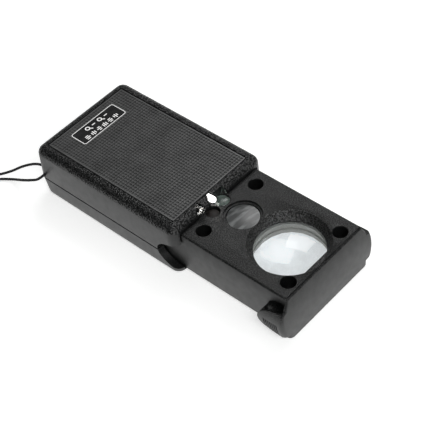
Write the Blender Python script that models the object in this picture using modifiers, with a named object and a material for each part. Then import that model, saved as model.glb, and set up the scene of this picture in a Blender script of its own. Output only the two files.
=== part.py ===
"""Pull-out pocket magnifier with a white and an ultraviolet lamp, for checking banknotes.

A two-part case holds the lamps, a board, three button cells and a selector switch.
A drawer with two lenses slides out of its front. A wrist strap loops through its rear corner.
All sizes are in millimetres. X runs across the case, the drawer comes out towards -Y, and Z is up
from the surface that the object lies on. Y is measured from the case's front face while the parts
are made, and the finished assembly then moves so that the origin is under its middle.
"""

import math

import bmesh
import bpy
from mathutils import Matrix, Vector

MM = 0.001
GAP = 0.3

# Case
CASE_HALF_WIDTH = 19.5
CASE_LENGTH = 60.0
CASE_HEIGHT = 19.0
CASE_CORNER = 3.0
TOP_EDGE = 2.6
BOTTOM_EDGE = 1.4
TOP_LEAN = 0.8
BOTTOM_LEAN = 1.6
PARTING = 6.6
FLOOR = 1.1
ROOF_UNDERSIDE = 17.5
LIP_UNDERSIDE = 16.2
LIP_DEPTH = 2.2
BAY_HALF_WIDTH = 17.1
BAY_END = 57.3
ROOF_POCKET_HALF_WIDTH = 14.5
REAR_FLOOR = 2.0
REAR_FLOOR_HALF_WIDTH = 14.3
REAR_FLOOR_FRONT = 43.2
STOP_RIB_X = (14.0, 14.95)
STOP_RIB_Y = (15.0, 16.2)
STOP_RIB_TOP = 4.5

# Grip panel and label on the case's roof
PANEL_HALF_WIDTH = 16.2
PANEL_FRONT = 2.9
PANEL_BACK = 56.3
PANEL_GROOVE = 0.4
PANEL_GROOVE_DEPTH = 0.35
LABEL_HALF_WIDTH = 9.1
LABEL_FRONT = 46.7
LABEL_BACK = 53.4
LABEL_RECESS = 0.5
LABEL_THICKNESS = 0.3

# Drawer
TRAVEL = 38.9
TRAY_HALF_WIDTH = 16.75
TRAY_TOP = 15.9
TRAY_BOTTOM = 1.4
TRAY_WALL = 1.5
TRAY_PLATE = 1.6
TRAY_FRONT_TOP = -39.4
TRAY_FRONT_BOTTOM = -40.5
TRAY_REAR = 5.5
TRAY_CORNER = 2.2
END_WALL_INSIDE = -38.0
ARM_REAR = 17.6
ARM_TOP = 12.0
STOP_LUG_INSIDE = 14.6
STOP_LUG_TOP = 5.0

# Thumb grips: half-ellipses in the side walls of the case, and the ears that fill them when shut
GRIP_LENGTH = 8.2
GRIP_HALF_HEIGHT = 5.0
GRIP_HEIGHT = 7.0
EAR_LENGTH = 7.7
EAR_HALF_HEIGHT = 4.7
EAR_OUTSIDE = 20.5
EAR_FRONT = -40.4
EAR_BULGE = 13.0
EAR_CORNER = 1.6
END_FOOT = -40.6

# Lenses and their seats, all on the drawer's centre line
BIG_LENS_Y = -26.5
BIG_LENS_RADIUS = 11.0
BIG_APERTURE = 10.5
BIG_RIM = 12.1
BIG_SEAT_HEIGHT = 12.9
SMALL_LENS_Y = -9.2
SMALL_LENS_RADIUS = 5.8
SMALL_APERTURE = 4.95
SMALL_RIM = 5.7
CARRIER_BOTTOM = 4.9
CARRIER_TOP = 6.2

# Screw wells in the drawer
WELL_X = 11.5
WELL_Y = (-4.2, -35.6)
WELL_RADIUS = 2.25
WELL_BOTTOM = 8.0
BOSS_RADIUS = 3.0
BOSS_BOTTOM = 6.5

# Light ports through the drawer's plate, and the lamps above it
WHITE_PORT = (0.8, -0.1, 2.6)
UV_PORT = (-4.4, -1.4, 2.2)
LAMP_RADIUS = 1.35
LAMP_HEIGHT = 17.6
LAMP_BACK = 2.3
WHITE_LAMP_X = -1.85
UV_LAMP_X = -7.1
NOTCH = (-3.5, 3.4, 1.55)

# Battery and its door
CELL_RADIUS = 5.8
CELL_HEIGHT = 3.05
CELL_X = -6.0
CELL_Y = 51.2
DOOR_X = (-12.9, 0.9)
DOOR_FRONT = 44.0
DOOR_THICKNESS = 1.2
DOOR_TONGUE = 0.8
HOLDER_Y = (45.0, 57.0)
HOLDER_TOP = 15.8
SPRING_COIL_RADIUS = 2.6
SPRING_HEIGHTS = (12.1, 13.8)

# Selector switch
KNOB_X = 7.0
KNOB_Y = (48.0, 51.0)
SELECTOR_TRAVEL = 3.5

# Case screws
CASE_SCREW_X = 12.6
CASE_SCREW_Y = (46.8, 55.3)

# Wrist strap
CORD_RADIUS = 0.45
STRAP_HOLE_HEIGHT = 7.9
STRAP_BEND = 2.55
STRAP_HOLE_RADIUS = 0.75
KNOT = (-28.0, 77.6, 1.35)
COIL = (-32.75, 84.4)
COIL_MID_RADIUS = 4.7
COIL_PITCH = 0.97
COIL_COLUMNS = 4
COIL_LAYERS = 2

BLACK = (0.022, 0.023, 0.023)
DARK = (0.012, 0.012, 0.013)
CLEAR = (0.9, 0.93, 0.92)
STEEL = (0.62, 0.62, 0.6)
BRASS = (0.72, 0.56, 0.28)


# ---------------------------------------------------------------- scene and materials


def clear_scene():
    for old in list(bpy.data.objects):
        bpy.data.objects.remove(old, do_unlink=True)
    for old in list(bpy.data.collections):
        bpy.data.collections.remove(old)


def new_collection(name):
    collection = bpy.data.collections.new(name)
    bpy.context.scene.collection.children.link(collection)
    return collection


def paint(part, colour, roughness=0.5, metallic=0.0, transmission=0.0):
    """Gives a part its own Principled material."""
    material = bpy.data.materials.new(part.name + "_material")
    material.use_nodes = True
    shader = material.node_tree.nodes["Principled BSDF"]
    shader.inputs["Base Color"].default_value = (*colour, 1.0)
    shader.inputs["Roughness"].default_value = roughness
    shader.inputs["Metallic"].default_value = metallic
    shader.inputs["Transmission Weight"].default_value = transmission
    part.data.materials.clear()
    part.data.materials.append(material)
    return part


# ---------------------------------------------------------------- shapes


def add_mesh(name, shape, centre=(0.0, 0.0, 0.0)):
    """Turns a bmesh, in millimetres round its own centre, into an object in metres at a place."""
    bmesh.ops.scale(shape, vec=(MM, MM, MM), verts=shape.verts)
    mesh = bpy.data.meshes.new(name)
    shape.to_mesh(mesh)
    shape.free()
    piece = bpy.data.objects.new(name, mesh)
    piece.location = Vector(centre) * MM
    PARTS.objects.link(piece)
    return piece


def box(name, low, high, corner=0.0, axis=2):
    """A box between two corners. corner rounds its four edges along one axis."""
    size = [b - a for a, b in zip(low, high)]
    centre = [(a + b) / 2 for a, b in zip(low, high)]
    shape = bmesh.new()
    bmesh.ops.create_cube(shape, size=1.0, matrix=Matrix.Diagonal((*size, 1.0)))
    if corner > 0:
        edges = [e for e in shape.edges if edge_axis(e) == axis]
        round_edges(shape, edges, corner, 3)
    return add_mesh(name, shape, centre)


def edge_axis(edge):
    """The axis that an edge runs along most."""
    run = edge.verts[1].co - edge.verts[0].co
    return max(range(3), key=lambda i: abs(run[i]))


def round_edges(shape, edges, radius, segments):
    bmesh.ops.bevel(
        shape, geom=edges, offset=radius, segments=segments, profile=0.5, affect="EDGES"
    )


def rod(name, centre, radius, length, axis="Z", segments=20):
    """A cylinder about a line through centre."""
    shape = bmesh.new()
    bmesh.ops.create_cone(
        shape,
        cap_ends=True,
        segments=segments,
        radius1=radius,
        radius2=radius,
        depth=length,
        matrix=turn_to(axis),
    )
    piece = add_mesh(name, shape, centre)
    smooth(piece)
    return piece


def turn_to(axis):
    """The rotation that brings +Z to the named axis."""
    if axis == "X":
        return Matrix.Rotation(math.pi / 2, 4, "Y")
    if axis == "Y":
        return Matrix.Rotation(-math.pi / 2, 4, "X")
    return Matrix.Identity(4)


def turned(name, profile, centre, steps=24):
    """A turned shape. The profile is (radius, height) from the top down the outer side."""
    shape = bmesh.new()
    points = [shape.verts.new((radius, 0.0, height)) for radius, height in profile]
    for first, second in zip(points, points[1:]):
        shape.edges.new((first, second))
    if profile[0][0] > 0:
        shape.edges.new((points[-1], points[0]))
    piece = add_mesh(name, shape, centre)
    screw = piece.modifiers.new("turn", "SCREW")
    screw.angle = 2 * math.pi
    screw.axis = "Z"
    screw.steps = steps
    screw.render_steps = steps
    screw.use_merge_vertices = True
    screw.merge_threshold = 0.00001
    screw.use_smooth_shade = True
    return piece


def ellipsoid(name, centre, radii, segments=24):
    shape = bmesh.new()
    bmesh.ops.create_uvsphere(
        shape, u_segments=segments, v_segments=segments // 2, radius=1.0
    )
    bmesh.ops.scale(shape, vec=radii, verts=shape.verts)
    piece = add_mesh(name, shape, centre)
    smooth(piece)
    return piece


def ellipse_rod(name, centre, half_length, half_height, low_x, high_x):
    """An elliptic cylinder along X, about a centre given as (y, z)."""
    shape = bmesh.new()
    bmesh.ops.create_cone(
        shape,
        cap_ends=True,
        segments=36,
        radius1=1.0,
        radius2=1.0,
        depth=high_x - low_x,
        matrix=turn_to("X"),
    )
    bmesh.ops.scale(shape, vec=(1.0, half_length, half_height), verts=shape.verts)
    piece = add_mesh(name, shape, ((low_x + high_x) / 2, *centre))
    smooth(piece)
    return piece


def wire(name, points, radius, resolution=2):
    """A round wire through a list of points, with flat ends, as a mesh."""
    curve = bpy.data.curves.new(name, "CURVE")
    curve.dimensions = "3D"
    curve.bevel_depth = radius * MM
    curve.bevel_resolution = resolution
    curve.use_fill_caps = True
    line = curve.splines.new("POLY")
    line.points.add(len(points) - 1)
    for spot, point in zip(line.points, points):
        spot.co = (*(Vector(point) * MM), 1.0)
    guide = bpy.data.objects.new(name + "_line", curve)
    PARTS.objects.link(guide)
    view = bpy.context.evaluated_depsgraph_get()
    mesh = bpy.data.meshes.new_from_object(guide.evaluated_get(view))
    shape = bmesh.new()
    shape.from_mesh(mesh)
    bmesh.ops.remove_doubles(shape, verts=shape.verts, dist=0.000001)
    bmesh.ops.recalc_face_normals(shape, faces=shape.faces)
    shape.to_mesh(mesh)
    shape.free()
    piece = bpy.data.objects.new(name, mesh)
    piece.matrix_world = guide.matrix_world
    bpy.data.objects.remove(guide)
    PARTS.objects.link(piece)
    smooth(piece)
    return piece


def smooth(piece):
    """Smooth shading, except across edges sharper than 35 degrees."""
    piece.data.shade_smooth()
    piece.data.set_sharp_from_angle(angle=math.radians(35.0))


# ---------------------------------------------------------------- cutting and joining


def combine(target, tool, operation):
    """Adds a Boolean to target, and puts the tool away with the other cutters."""
    if tool.name in PARTS.objects:
        PARTS.objects.unlink(tool)
        CUTTERS.objects.link(tool)
    tool.hide_render = True
    tool.display_type = "WIRE"
    step = target.modifiers.new(operation.lower() + "_" + tool.name, "BOOLEAN")
    step.operation = operation
    step.solver = "EXACT"
    step.object = tool
    return target


def cut(target, *tools):
    for tool in tools:
        combine(target, tool, "DIFFERENCE")


def join(target, *tools):
    for tool in tools:
        combine(target, tool, "UNION")


def hang(parent_name, place, *pieces):
    """Parents pieces to an empty on their joint's axis, without moving them."""
    empty = bpy.data.objects.new(parent_name, None)
    empty.empty_display_size = 0.005
    empty.location = Vector(place) * MM
    PARTS.objects.link(empty)
    bpy.context.view_layer.update()
    for piece in pieces:
        piece.parent = empty
        piece.matrix_parent_inverse = empty.matrix_world.inverted()


def sides():
    return (-1, 1)


def span(side, near, far):
    """The x range between two distances from the middle, on one side, low value first."""
    return sorted((side * near, side * far))


# ---------------------------------------------------------------- case


def case_block(name, low_z, high_z, lean_low, lean_high, edge, edge_at_top):
    """One half of the case, solid: upright corners rounded, and one loop of long edges rounded."""
    shape = bmesh.new()
    size = (2 * CASE_HALF_WIDTH, CASE_LENGTH, high_z - low_z)
    bmesh.ops.create_cube(shape, size=1.0, matrix=Matrix.Diagonal((*size, 1.0)))
    for corner in shape.verts:
        if corner.co.y > 0:
            corner.co.y -= lean_high if corner.co.z > 0 else lean_low
    upright = [e for e in shape.edges if edge_axis(e) == 2]
    round_edges(shape, upright, CASE_CORNER, 5)
    level = max(v.co.z for v in shape.verts) * (1 if edge_at_top else -1)
    loop = [e for e in shape.edges if all(abs(v.co.z - level) < 0.01 for v in e.verts)]
    round_edges(shape, loop, edge, 5 if edge_at_top else 3)
    piece = add_mesh(name, shape, (0.0, CASE_LENGTH / 2, (low_z + high_z) / 2))
    smooth(piece)
    return piece


def bottom_block(name):
    return case_block(name, 0.0, PARTING - GAP / 2, BOTTOM_LEAN, 0.0, BOTTOM_EDGE, False)


def grip_cutter(name):
    """The half-ellipse that both side walls leave open for thumb and finger."""
    reach = CASE_HALF_WIDTH + 2
    return ellipse_rod(name, (0.0, GRIP_HEIGHT), GRIP_LENGTH, GRIP_HALF_HEIGHT, -reach, reach)


def make_top_shell():
    shell = case_block(
        "top_shell", PARTING + GAP / 2, CASE_HEIGHT, 0.0, TOP_LEAN, TOP_EDGE, True
    )
    bay = box(
        "top_bay", (-BAY_HALF_WIDTH, -1, 5), (BAY_HALF_WIDTH, BAY_END, LIP_UNDERSIDE)
    )
    pocket = box(
        "roof_pocket",
        (-ROOF_POCKET_HALF_WIDTH, LIP_DEPTH, LIP_UNDERSIDE - 1),
        (ROOF_POCKET_HALF_WIDTH, BAY_END, ROOF_UNDERSIDE),
    )
    cut(shell, bay, pocket, grip_cutter("top_grips"))
    for number, y in enumerate(CASE_SCREW_Y, 1):
        low = REAR_FLOOR + GAP
        high = ROOF_UNDERSIDE + 0.3
        post = rod(f"post_{number}", (CASE_SCREW_X, y, (low + high) / 2), 1.7, high - low)
        join(shell, post)
        cut(shell, rod(f"post_bore_{number}", (CASE_SCREW_X, y, 4.5), 1.0, 6.0))
    cut(shell, *lamp_openings(), *panel_grooves())
    label = box(
        "label_recess",
        (-LABEL_HALF_WIDTH - 0.15, LABEL_FRONT - 0.15, CASE_HEIGHT - LABEL_RECESS),
        (LABEL_HALF_WIDTH + 0.15, LABEL_BACK + 0.15, CASE_HEIGHT + 1),
        corner=0.9,
    )
    cut(shell, label, strap_tunnel())
    return paint(shell, BLACK, 0.45)


def lamp_openings():
    """A notch in the front lip over the white port, and a bore for each lamp."""
    low_x, high_x, depth = NOTCH
    notch = box(
        "port_notch", (low_x, -2, LIP_UNDERSIDE - 1), (high_x, depth, CASE_HEIGHT + 1), 1.1
    )
    bores = []
    for name, x in (("white_bore", WHITE_LAMP_X), ("uv_bore", UV_LAMP_X)):
        bore_length = LAMP_BACK + 0.1 + 2
        centre = (x, -2 + bore_length / 2, LAMP_HEIGHT)
        bores.append(rod(name, centre, LAMP_RADIUS + 0.2, bore_length, "Y"))
    return (notch, *bores)


def panel_grooves():
    """Four grooves that frame the grip panel."""
    low_z = CASE_HEIGHT - PANEL_GROOVE_DEPTH
    high_z = CASE_HEIGHT + 1
    grooves = []
    for side in sides():
        low, high = span(side, PANEL_HALF_WIDTH - PANEL_GROOVE, PANEL_HALF_WIDTH)
        groove = box(f"groove_x{side}", (low, PANEL_FRONT, low_z), (high, PANEL_BACK, high_z))
        grooves.append(groove)
    inside = PANEL_HALF_WIDTH - PANEL_GROOVE / 2
    for y in (PANEL_FRONT, PANEL_BACK - PANEL_GROOVE):
        low = (-inside, y, low_z)
        groove = box(f"groove_y{y:.0f}", low, (inside, y + PANEL_GROOVE, high_z))
        grooves.append(groove)
    return grooves


def strap_tunnel():
    """A ring round the rear left corner, which leaves a pillar for the strap to go round."""
    bpy.ops.mesh.primitive_torus_add(
        location=(-CASE_HALF_WIDTH * MM, CASE_LENGTH * MM, STRAP_HOLE_HEIGHT * MM),
        major_radius=STRAP_BEND * MM,
        minor_radius=STRAP_HOLE_RADIUS * MM,
        major_segments=24,
        minor_segments=12,
    )
    ring = bpy.context.active_object
    ring.name = "strap_tunnel"
    for home in list(ring.users_collection):
        home.objects.unlink(ring)
    PARTS.objects.link(ring)
    return ring


def make_bottom_shell():
    shell = bottom_block("bottom_shell")
    bay = box("bottom_bay", (-BAY_HALF_WIDTH, -1, FLOOR), (BAY_HALF_WIDTH, BAY_END, 8))
    cut(shell, bay, grip_cutter("bottom_grips"))
    low = (-REAR_FLOOR_HALF_WIDTH, REAR_FLOOR_FRONT, FLOOR - 0.5)
    join(shell, box("rear_floor", low, (REAR_FLOOR_HALF_WIDTH, BAY_END + 0.3, REAR_FLOOR)))
    for side in sides():
        low_x, high_x = span(side, *STOP_RIB_X)
        front, back = STOP_RIB_Y
        low = (low_x, front, FLOOR - 0.5)
        join(shell, box(f"stop_rib_x{side}", low, (high_x, back, STOP_RIB_TOP)))
    door_low, door_high = DOOR_X
    opening = box(
        "door_opening",
        (door_low - GAP, DOOR_FRONT - GAP, -1),
        (door_high + GAP, CASE_LENGTH + 1, REAR_FLOOR + 0.1),
    )
    rail = DOOR_TONGUE + GAP
    rails = box(
        "door_rails", (door_low - rail, DOOR_FRONT, 0.35), (door_high + rail, CASE_LENGTH + 1, 1.35)
    )
    cut(shell, opening, rails, *selector_openings())
    for number, y in enumerate(CASE_SCREW_Y, 1):
        sink = rod(f"screw_sink_{number}", (CASE_SCREW_X, y, 0.2), 1.6, 2.6)
        bore = rod(f"screw_bore_{number}", (CASE_SCREW_X, y, 1.5), 1.0, 4.0)
        cut(shell, sink, bore)
    return paint(shell, BLACK, 0.45)


def selector_openings():
    """A recess in the underside for the selector's knob, and the slot for its stem."""
    rest_low, rest_high = KNOB_Y
    recess = box(
        "knob_recess",
        (KNOB_X - 3.6, rest_low - 0.5, -1),
        (KNOB_X + 3.6, rest_high + SELECTOR_TRAVEL + 0.5, 0.9),
        corner=0.8,
    )
    slot = box(
        "knob_slot",
        (KNOB_X - 0.9, rest_low + 0.5, 0.5),
        (KNOB_X + 0.9, rest_high + SELECTOR_TRAVEL - 0.5, REAR_FLOOR + 1),
    )
    return recess, slot


def make_label():
    label = box(
        "label_plate",
        (-LABEL_HALF_WIDTH, LABEL_FRONT, CASE_HEIGHT - LABEL_RECESS + 0.05),
        (LABEL_HALF_WIDTH, LABEL_BACK, CASE_HEIGHT - LABEL_RECESS + 0.05 + LABEL_THICKNESS),
        corner=0.8,
    )
    return paint(label, DARK, 0.25)


def make_case_screws():
    """Pan heads sunk in the underside, with shanks up into the top shell's posts."""
    profile = [(0, 7.0), (0.7, 7.0), (0.7, 1.4), (1.3, 1.4), (1.3, 0.5), (0.9, 0.25), (0, 0.25)]
    screws = []
    for number, y in enumerate(CASE_SCREW_Y, 1):
        name = f"case_screw_{number}"
        screw = turned(name, profile, (CASE_SCREW_X, y, 0.0), steps=16)
        screws.append(paint(screw, STEEL, 0.3, 1.0))
    return screws


# ---------------------------------------------------------------- lamps, board and battery


def dome_profile(radius, length, segments=4):
    """A lamp's outline: a round nose on a cylinder, flat at the back."""
    points = []
    for step in range(segments + 1):
        angle = math.pi / 2 * step / segments
        height = length - radius + radius * math.cos(angle)
        points.append((radius * math.sin(angle), height))
    return points + [(radius, 0.0), (0.0, 0.0)]


def make_lamp(name, x, nose_y, colour):
    """A clear lamp lying in the front lip, nose towards -Y, with two leads behind it."""
    profile = dome_profile(LAMP_RADIUS, LAMP_BACK - nose_y)
    lamp = turned(name, profile, (x, LAMP_BACK, LAMP_HEIGHT), steps=16)
    lamp.rotation_euler = (math.pi / 2, 0.0, 0.0)
    pieces = [paint(lamp, colour, 0.05, 0.0, 0.9)]
    for mark, offset in (("a", -0.65), ("b", 0.65)):
        front = LAMP_BACK + GAP
        path = [(x + offset, front, 17.1), (x + offset, 6.5, 17.1), (x + offset, 8.0, 17.05)]
        lead = wire(f"{name}_lead_{mark}", path, 0.16, 1)
        pieces.append(paint(lead, STEEL, 0.3, 1.0))
    return pieces


def make_board():
    board = box("circuit_board", (-11.0, 4.5, 16.3), (11.0, 44.5, 16.7))
    pieces = [paint(board, (0.03, 0.16, 0.07), 0.5)]
    for name, x in (("white_resistor", WHITE_LAMP_X), ("uv_resistor", UV_LAMP_X)):
        resistor = box(name, (x - 0.6, 12.0, 16.75), (x + 0.6, 14.0, 17.25))
        pieces.append(paint(resistor, DARK, 0.4))
    return pieces


def make_battery():
    """Three button cells in a stack, in a bridge-shaped holder, with a spring above them."""
    pieces = []
    low, high = DOOR_X
    front, back = HOLDER_Y
    holder = box("battery_holder", (low, front, REAR_FLOOR + GAP), (high, back, HOLDER_TOP))
    hollow_high = (high - 0.8, back + 1, HOLDER_TOP - 0.8)
    cut(holder, box("holder_hollow", (low + 0.8, front - 1, 1), hollow_high))
    pieces.append(paint(holder, BLACK, 0.6))
    for number in (1, 2, 3):
        bottom = REAR_FLOOR + (number - 1) * (CELL_HEIGHT + 0.15)
        profile = [
            (0, CELL_HEIGHT), (CELL_RADIUS - 0.9, CELL_HEIGHT), (CELL_RADIUS - 0.6, 2.6),
            (CELL_RADIUS, 2.4), (CELL_RADIUS, 0.25), (CELL_RADIUS - 0.25, 0), (0, 0),
        ]
        cell = turned(f"button_cell_{number}", profile, (CELL_X, CELL_Y, bottom))
        pieces.append(paint(cell, STEEL, 0.25, 1.0))
    spring = wire("battery_spring", spring_path(3, 12), 0.22, 1)
    pieces.append(paint(spring, STEEL, 0.3, 1.0))
    plate = box("battery_contact", (-10.5, 46.5, 14.4), (-1.5, 56.0, 14.7), corner=0.8)
    pieces.append(paint(plate, STEEL, 0.3, 1.0))
    return pieces


def spring_path(turns, steps):
    """A helix above the cells, read at a number of steps for each turn."""
    low, high = SPRING_HEIGHTS
    path = []
    for step in range(turns * steps + 1):
        angle = 2 * math.pi * step / steps
        x = CELL_X + SPRING_COIL_RADIUS * math.cos(angle)
        y = CELL_Y + SPRING_COIL_RADIUS * math.sin(angle)
        path.append((x, y, low + (high - low) * step / (turns * steps)))
    return path


def make_door():
    """The battery door: part of the case's underside, with tongues in the rails beside it."""
    low, high = DOOR_X
    door = box("battery_door", (low, DOOR_FRONT, -1), (high, CASE_LENGTH + 1, DOOR_THICKNESS))
    combine(door, bottom_block("door_outline"), "INTERSECT")
    tongue_low = (low - DOOR_TONGUE, DOOR_FRONT + 0.3, 0.65)
    join(door, box("door_tongues", tongue_low, (high + DOOR_TONGUE, 57.0, 1.05)))
    cut(door, box("door_thumb_notch", (-8.5, 46.0, -1), (-3.5, 47.2, 0.4)))
    contact = box("door_contact", (-9.0, 46.0, 1.5), (-3.0, 56.0, 1.7), corner=0.6)
    return [paint(door, BLACK, 0.45), paint(contact, STEEL, 0.3, 1.0)]


def make_selector():
    """The selector's knob, and the switch body that its stem runs in."""
    low, high = KNOB_Y
    middle = (low + high) / 2
    knob = box("selector_knob", (KNOB_X - 3.0, low, 0.15), (KNOB_X + 3.0, high, 0.6), 0.5)
    stem = box("knob_stem", (KNOB_X - 0.5, middle - 0.6, 0.3), (KNOB_X + 0.5, middle + 0.6, 4.0))
    join(knob, stem)
    for number in range(3):
        y = middle - 1.0 + number
        low_groove = (KNOB_X - 2.4, y - 0.15, 0.0)
        cut(knob, box(f"knob_groove_{number}", low_groove, (KNOB_X + 2.4, y + 0.15, 0.3)))
    body = box("switch_body", (KNOB_X - 2.6, 46.6, REAR_FLOOR + GAP), (KNOB_X + 2.6, 55.8, 7.0))
    cut(body, box("stem_room", (KNOB_X - 0.9, 47.6, 1.0), (KNOB_X + 0.9, 54.8, 4.5)))
    leaf = box("auto_switch_leaf", (KNOB_X - 1.5, 50.2, 7.3), (14.2, 52.0, 7.6))
    join(leaf, box("leaf_tab", (13.9, 49.6, 7.35), (14.2, 52.6, 10.3)))
    return [paint(knob, BLACK, 0.5)], [paint(body, DARK, 0.5), paint(leaf, BRASS, 0.3, 1.0)]


def make_wires():
    switch_path = [
        (6.0, 48.5, 7.3), (6.0, 48.5, 13.5), (6.0, 47.8, 15.6), (6.0, 46.4, 16.45), (6.0, 44.8, 16.5),
    ]
    battery_path = [(-2.6, 50.0, 16.35), (-2.6, 48.4, 16.5), (-2.6, 44.8, 16.5)]
    red = wire("battery_wire", battery_path, 0.3)
    black = wire("switch_wire", switch_path, 0.3)
    return [paint(red, (0.5, 0.02, 0.02), 0.4), paint(black, DARK, 0.4)]


# ---------------------------------------------------------------- drawer


def tray_block():
    """The drawer's solid: front wall leaning out to its foot, front corners and top edges rounded."""
    shape = bmesh.new()
    middle_y = (TRAY_FRONT_TOP + TRAY_REAR) / 2
    size = (2 * TRAY_HALF_WIDTH, TRAY_REAR - TRAY_FRONT_TOP, TRAY_TOP - TRAY_BOTTOM)
    bmesh.ops.create_cube(shape, size=1.0, matrix=Matrix.Diagonal((*size, 1.0)))
    for corner in shape.verts:
        if corner.co.y < 0 and corner.co.z < 0:
            corner.co.y += TRAY_FRONT_BOTTOM - TRAY_FRONT_TOP
    front = [e for e in shape.edges if edge_axis(e) == 2 and e.verts[0].co.y < 0]
    round_edges(shape, front, TRAY_CORNER, 4)
    top = [e for e in shape.edges if all(v.co.z > size[2] / 2 - 0.01 for v in e.verts)]
    top = [e for e in top if not all(v.co.y > size[1] / 2 - 0.01 for v in e.verts)]
    round_edges(shape, top, 0.6, 2)
    block = add_mesh("tray_body", shape, (0.0, middle_y, (TRAY_TOP + TRAY_BOTTOM) / 2))
    smooth(block)
    return block


def make_tray():
    tray = tray_block()
    plate_underside = TRAY_TOP - TRAY_PLATE
    inside = TRAY_HALF_WIDTH - TRAY_WALL
    cut(
        tray,
        box("tray_hollow", (-inside, END_WALL_INSIDE, -1), (inside, TRAY_REAR + 1, plate_underside)),
    )
    skirt_top = TRAY_BOTTOM + 0.4
    skirt = box("end_skirt", (-16.0, END_FOOT, 0.0), (16.0, -39.3, skirt_top), 0.5, axis=1)
    join(tray, skirt)
    for side in sides():
        add_arm(tray, side)
        add_ear(tray, side)
    lens_ring = rod("lens_ring", (0, BIG_LENS_Y, 13.8), 12.7, 1.8, segments=36)
    join(tray, lens_ring)
    for number, (x, y) in enumerate(well_places(), 1):
        high = plate_underside + 0.4
        middle = (BOSS_BOTTOM + high) / 2
        join(tray, rod(f"boss_{number}", (x, y, middle), BOSS_RADIUS, high - BOSS_BOTTOM))
    cut(tray, *lens_seats())
    cut(tray, rod("small_lens_room", (0, SMALL_LENS_Y, 12.5), SMALL_LENS_RADIUS + 0.15, 3.0))
    low_rib = (-6.4, -39.0, BIG_SEAT_HEIGHT)
    join(tray, box("lamp_rib", low_rib, (3.4, -37.3, TRAY_TOP - 0.02)))
    for number, (x, y) in enumerate(well_places(), 1):
        cut(tray, rod(f"well_{number}", (x, y, (WELL_BOTTOM + 17) / 2), WELL_RADIUS, 17 - WELL_BOTTOM))
        cut(tray, rod(f"screw_way_{number}", (x, y, 7.0), 1.3, 4.0, segments=12))
    for name, (x, y, radius) in (("white_way", WHITE_PORT), ("uv_way", UV_PORT)):
        cut(tray, rod(name, (x, y, TRAY_TOP), radius, 2 * TRAY_PLATE + 1, segments=24))
    cut(tray, box("ridge_groove", (-16.3, -38.6, TRAY_TOP - 0.3), (16.3, -38.25, TRAY_TOP + 1)))
    return paint(tray, BLACK, 0.45)


def add_arm(tray, side):
    """A guide arm that stays in the case, with a lug that meets the case's stop rib."""
    low, high = span(side, TRAY_HALF_WIDTH - TRAY_WALL, TRAY_HALF_WIDTH)
    join(tray, box(f"arm_x{side}", (low, TRAY_REAR - 0.5, TRAY_BOTTOM), (high, ARM_REAR, ARM_TOP)))
    low, high = span(side, STOP_LUG_INSIDE, TRAY_HALF_WIDTH - TRAY_WALL + 0.2)
    lug = box(f"lug_x{side}", (low, 16.6, TRAY_BOTTOM), (high, ARM_REAR, STOP_LUG_TOP))
    join(tray, lug)


def add_ear(tray, side):
    """An ear that stands 1 mm out of the case's grip when the drawer is shut, scooped on top."""
    low, high = span(side, TRAY_HALF_WIDTH - 1.0, EAR_OUTSIDE)
    middle = (-TRAVEL, GRIP_HEIGHT)
    ear = ellipse_rod(f"ear_x{side}", middle, EAR_LENGTH, EAR_HALF_HEIGHT, low, high)
    rear = EAR_LENGTH - TRAVEL + 1
    centre = (side * (EAR_OUTSIDE - EAR_BULGE), (EAR_FRONT - 1 + rear) / 2, GRIP_HEIGHT)
    length = rear - EAR_FRONT + 1
    bulge = rod(f"ear_bulge_x{side}", centre, EAR_BULGE, length, "Y", segments=96)
    low, high = span(side, TRAY_HALF_WIDTH - 5.0, EAR_OUTSIDE + 0.01)
    plan = box(f"ear_plan_x{side}", (low, EAR_FRONT, 0), (high, rear, 14), EAR_CORNER)
    combine(ear, bulge, "INTERSECT")
    combine(ear, plan, "INTERSECT")
    join(tray, ear)
    cut(tray, ellipsoid(f"scoop_x{side}", (side * 17.3, -36.7, 11.2), (2.1, 3.3, 3.0), 20))


def well_places():
    return [(side * WELL_X, y) for y in WELL_Y for side in sides()]


def lens_seats():
    """The big lens's steep countersink, and the small lens's stepped hole."""
    big = turned(
        "big_seat",
        [(0, 17), (BIG_RIM + 0.7, 17), (BIG_APERTURE, BIG_SEAT_HEIGHT), (BIG_APERTURE, 12), (0, 12)],
        (0, BIG_LENS_Y, 0),
        steps=36,
    )
    small = turned(
        "small_seat",
        [(0, 17), (SMALL_RIM, 17), (SMALL_RIM, 15.3), (SMALL_APERTURE, 15.3), (SMALL_APERTURE, 13), (0, 13)],
        (0, SMALL_LENS_Y, 0),
        steps=28,
    )
    return big, small


def lens_profile(radius, curvature, edge):
    """A lens, bulging equally above and below a rim of the given thickness."""
    points = []
    steps = 5
    sag = curvature - math.sqrt(curvature**2 - radius**2)
    for step in range(steps + 1):
        r = radius * step / steps
        drop = curvature - math.sqrt(curvature**2 - r**2)
        points.append((r, edge / 2 + sag - drop))
    return points + [(r, -height) for r, height in reversed(points)]


def make_lenses():
    big = turned(
        "big_lens", lens_profile(BIG_LENS_RADIUS, 26.0, 1.4), (0, BIG_LENS_Y, 11.7), steps=32
    )
    small = turned(
        "small_lens", lens_profile(SMALL_LENS_RADIUS, 10.0, 1.3), (0, SMALL_LENS_Y, 12.55), steps=24
    )
    return [paint(big, CLEAR, 0.02, 0.0, 1.0), paint(small, CLEAR, 0.02, 0.0, 1.0)]


def make_tube(name, y, outer, inner, high):
    """A ring that holds a lens up against its seat."""
    low = CARRIER_TOP + GAP
    profile = [(outer, high), (outer, low), (inner, low), (inner, high)]
    return paint(turned(name, profile, (0, y, 0), steps=28), BLACK, 0.6)


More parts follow.
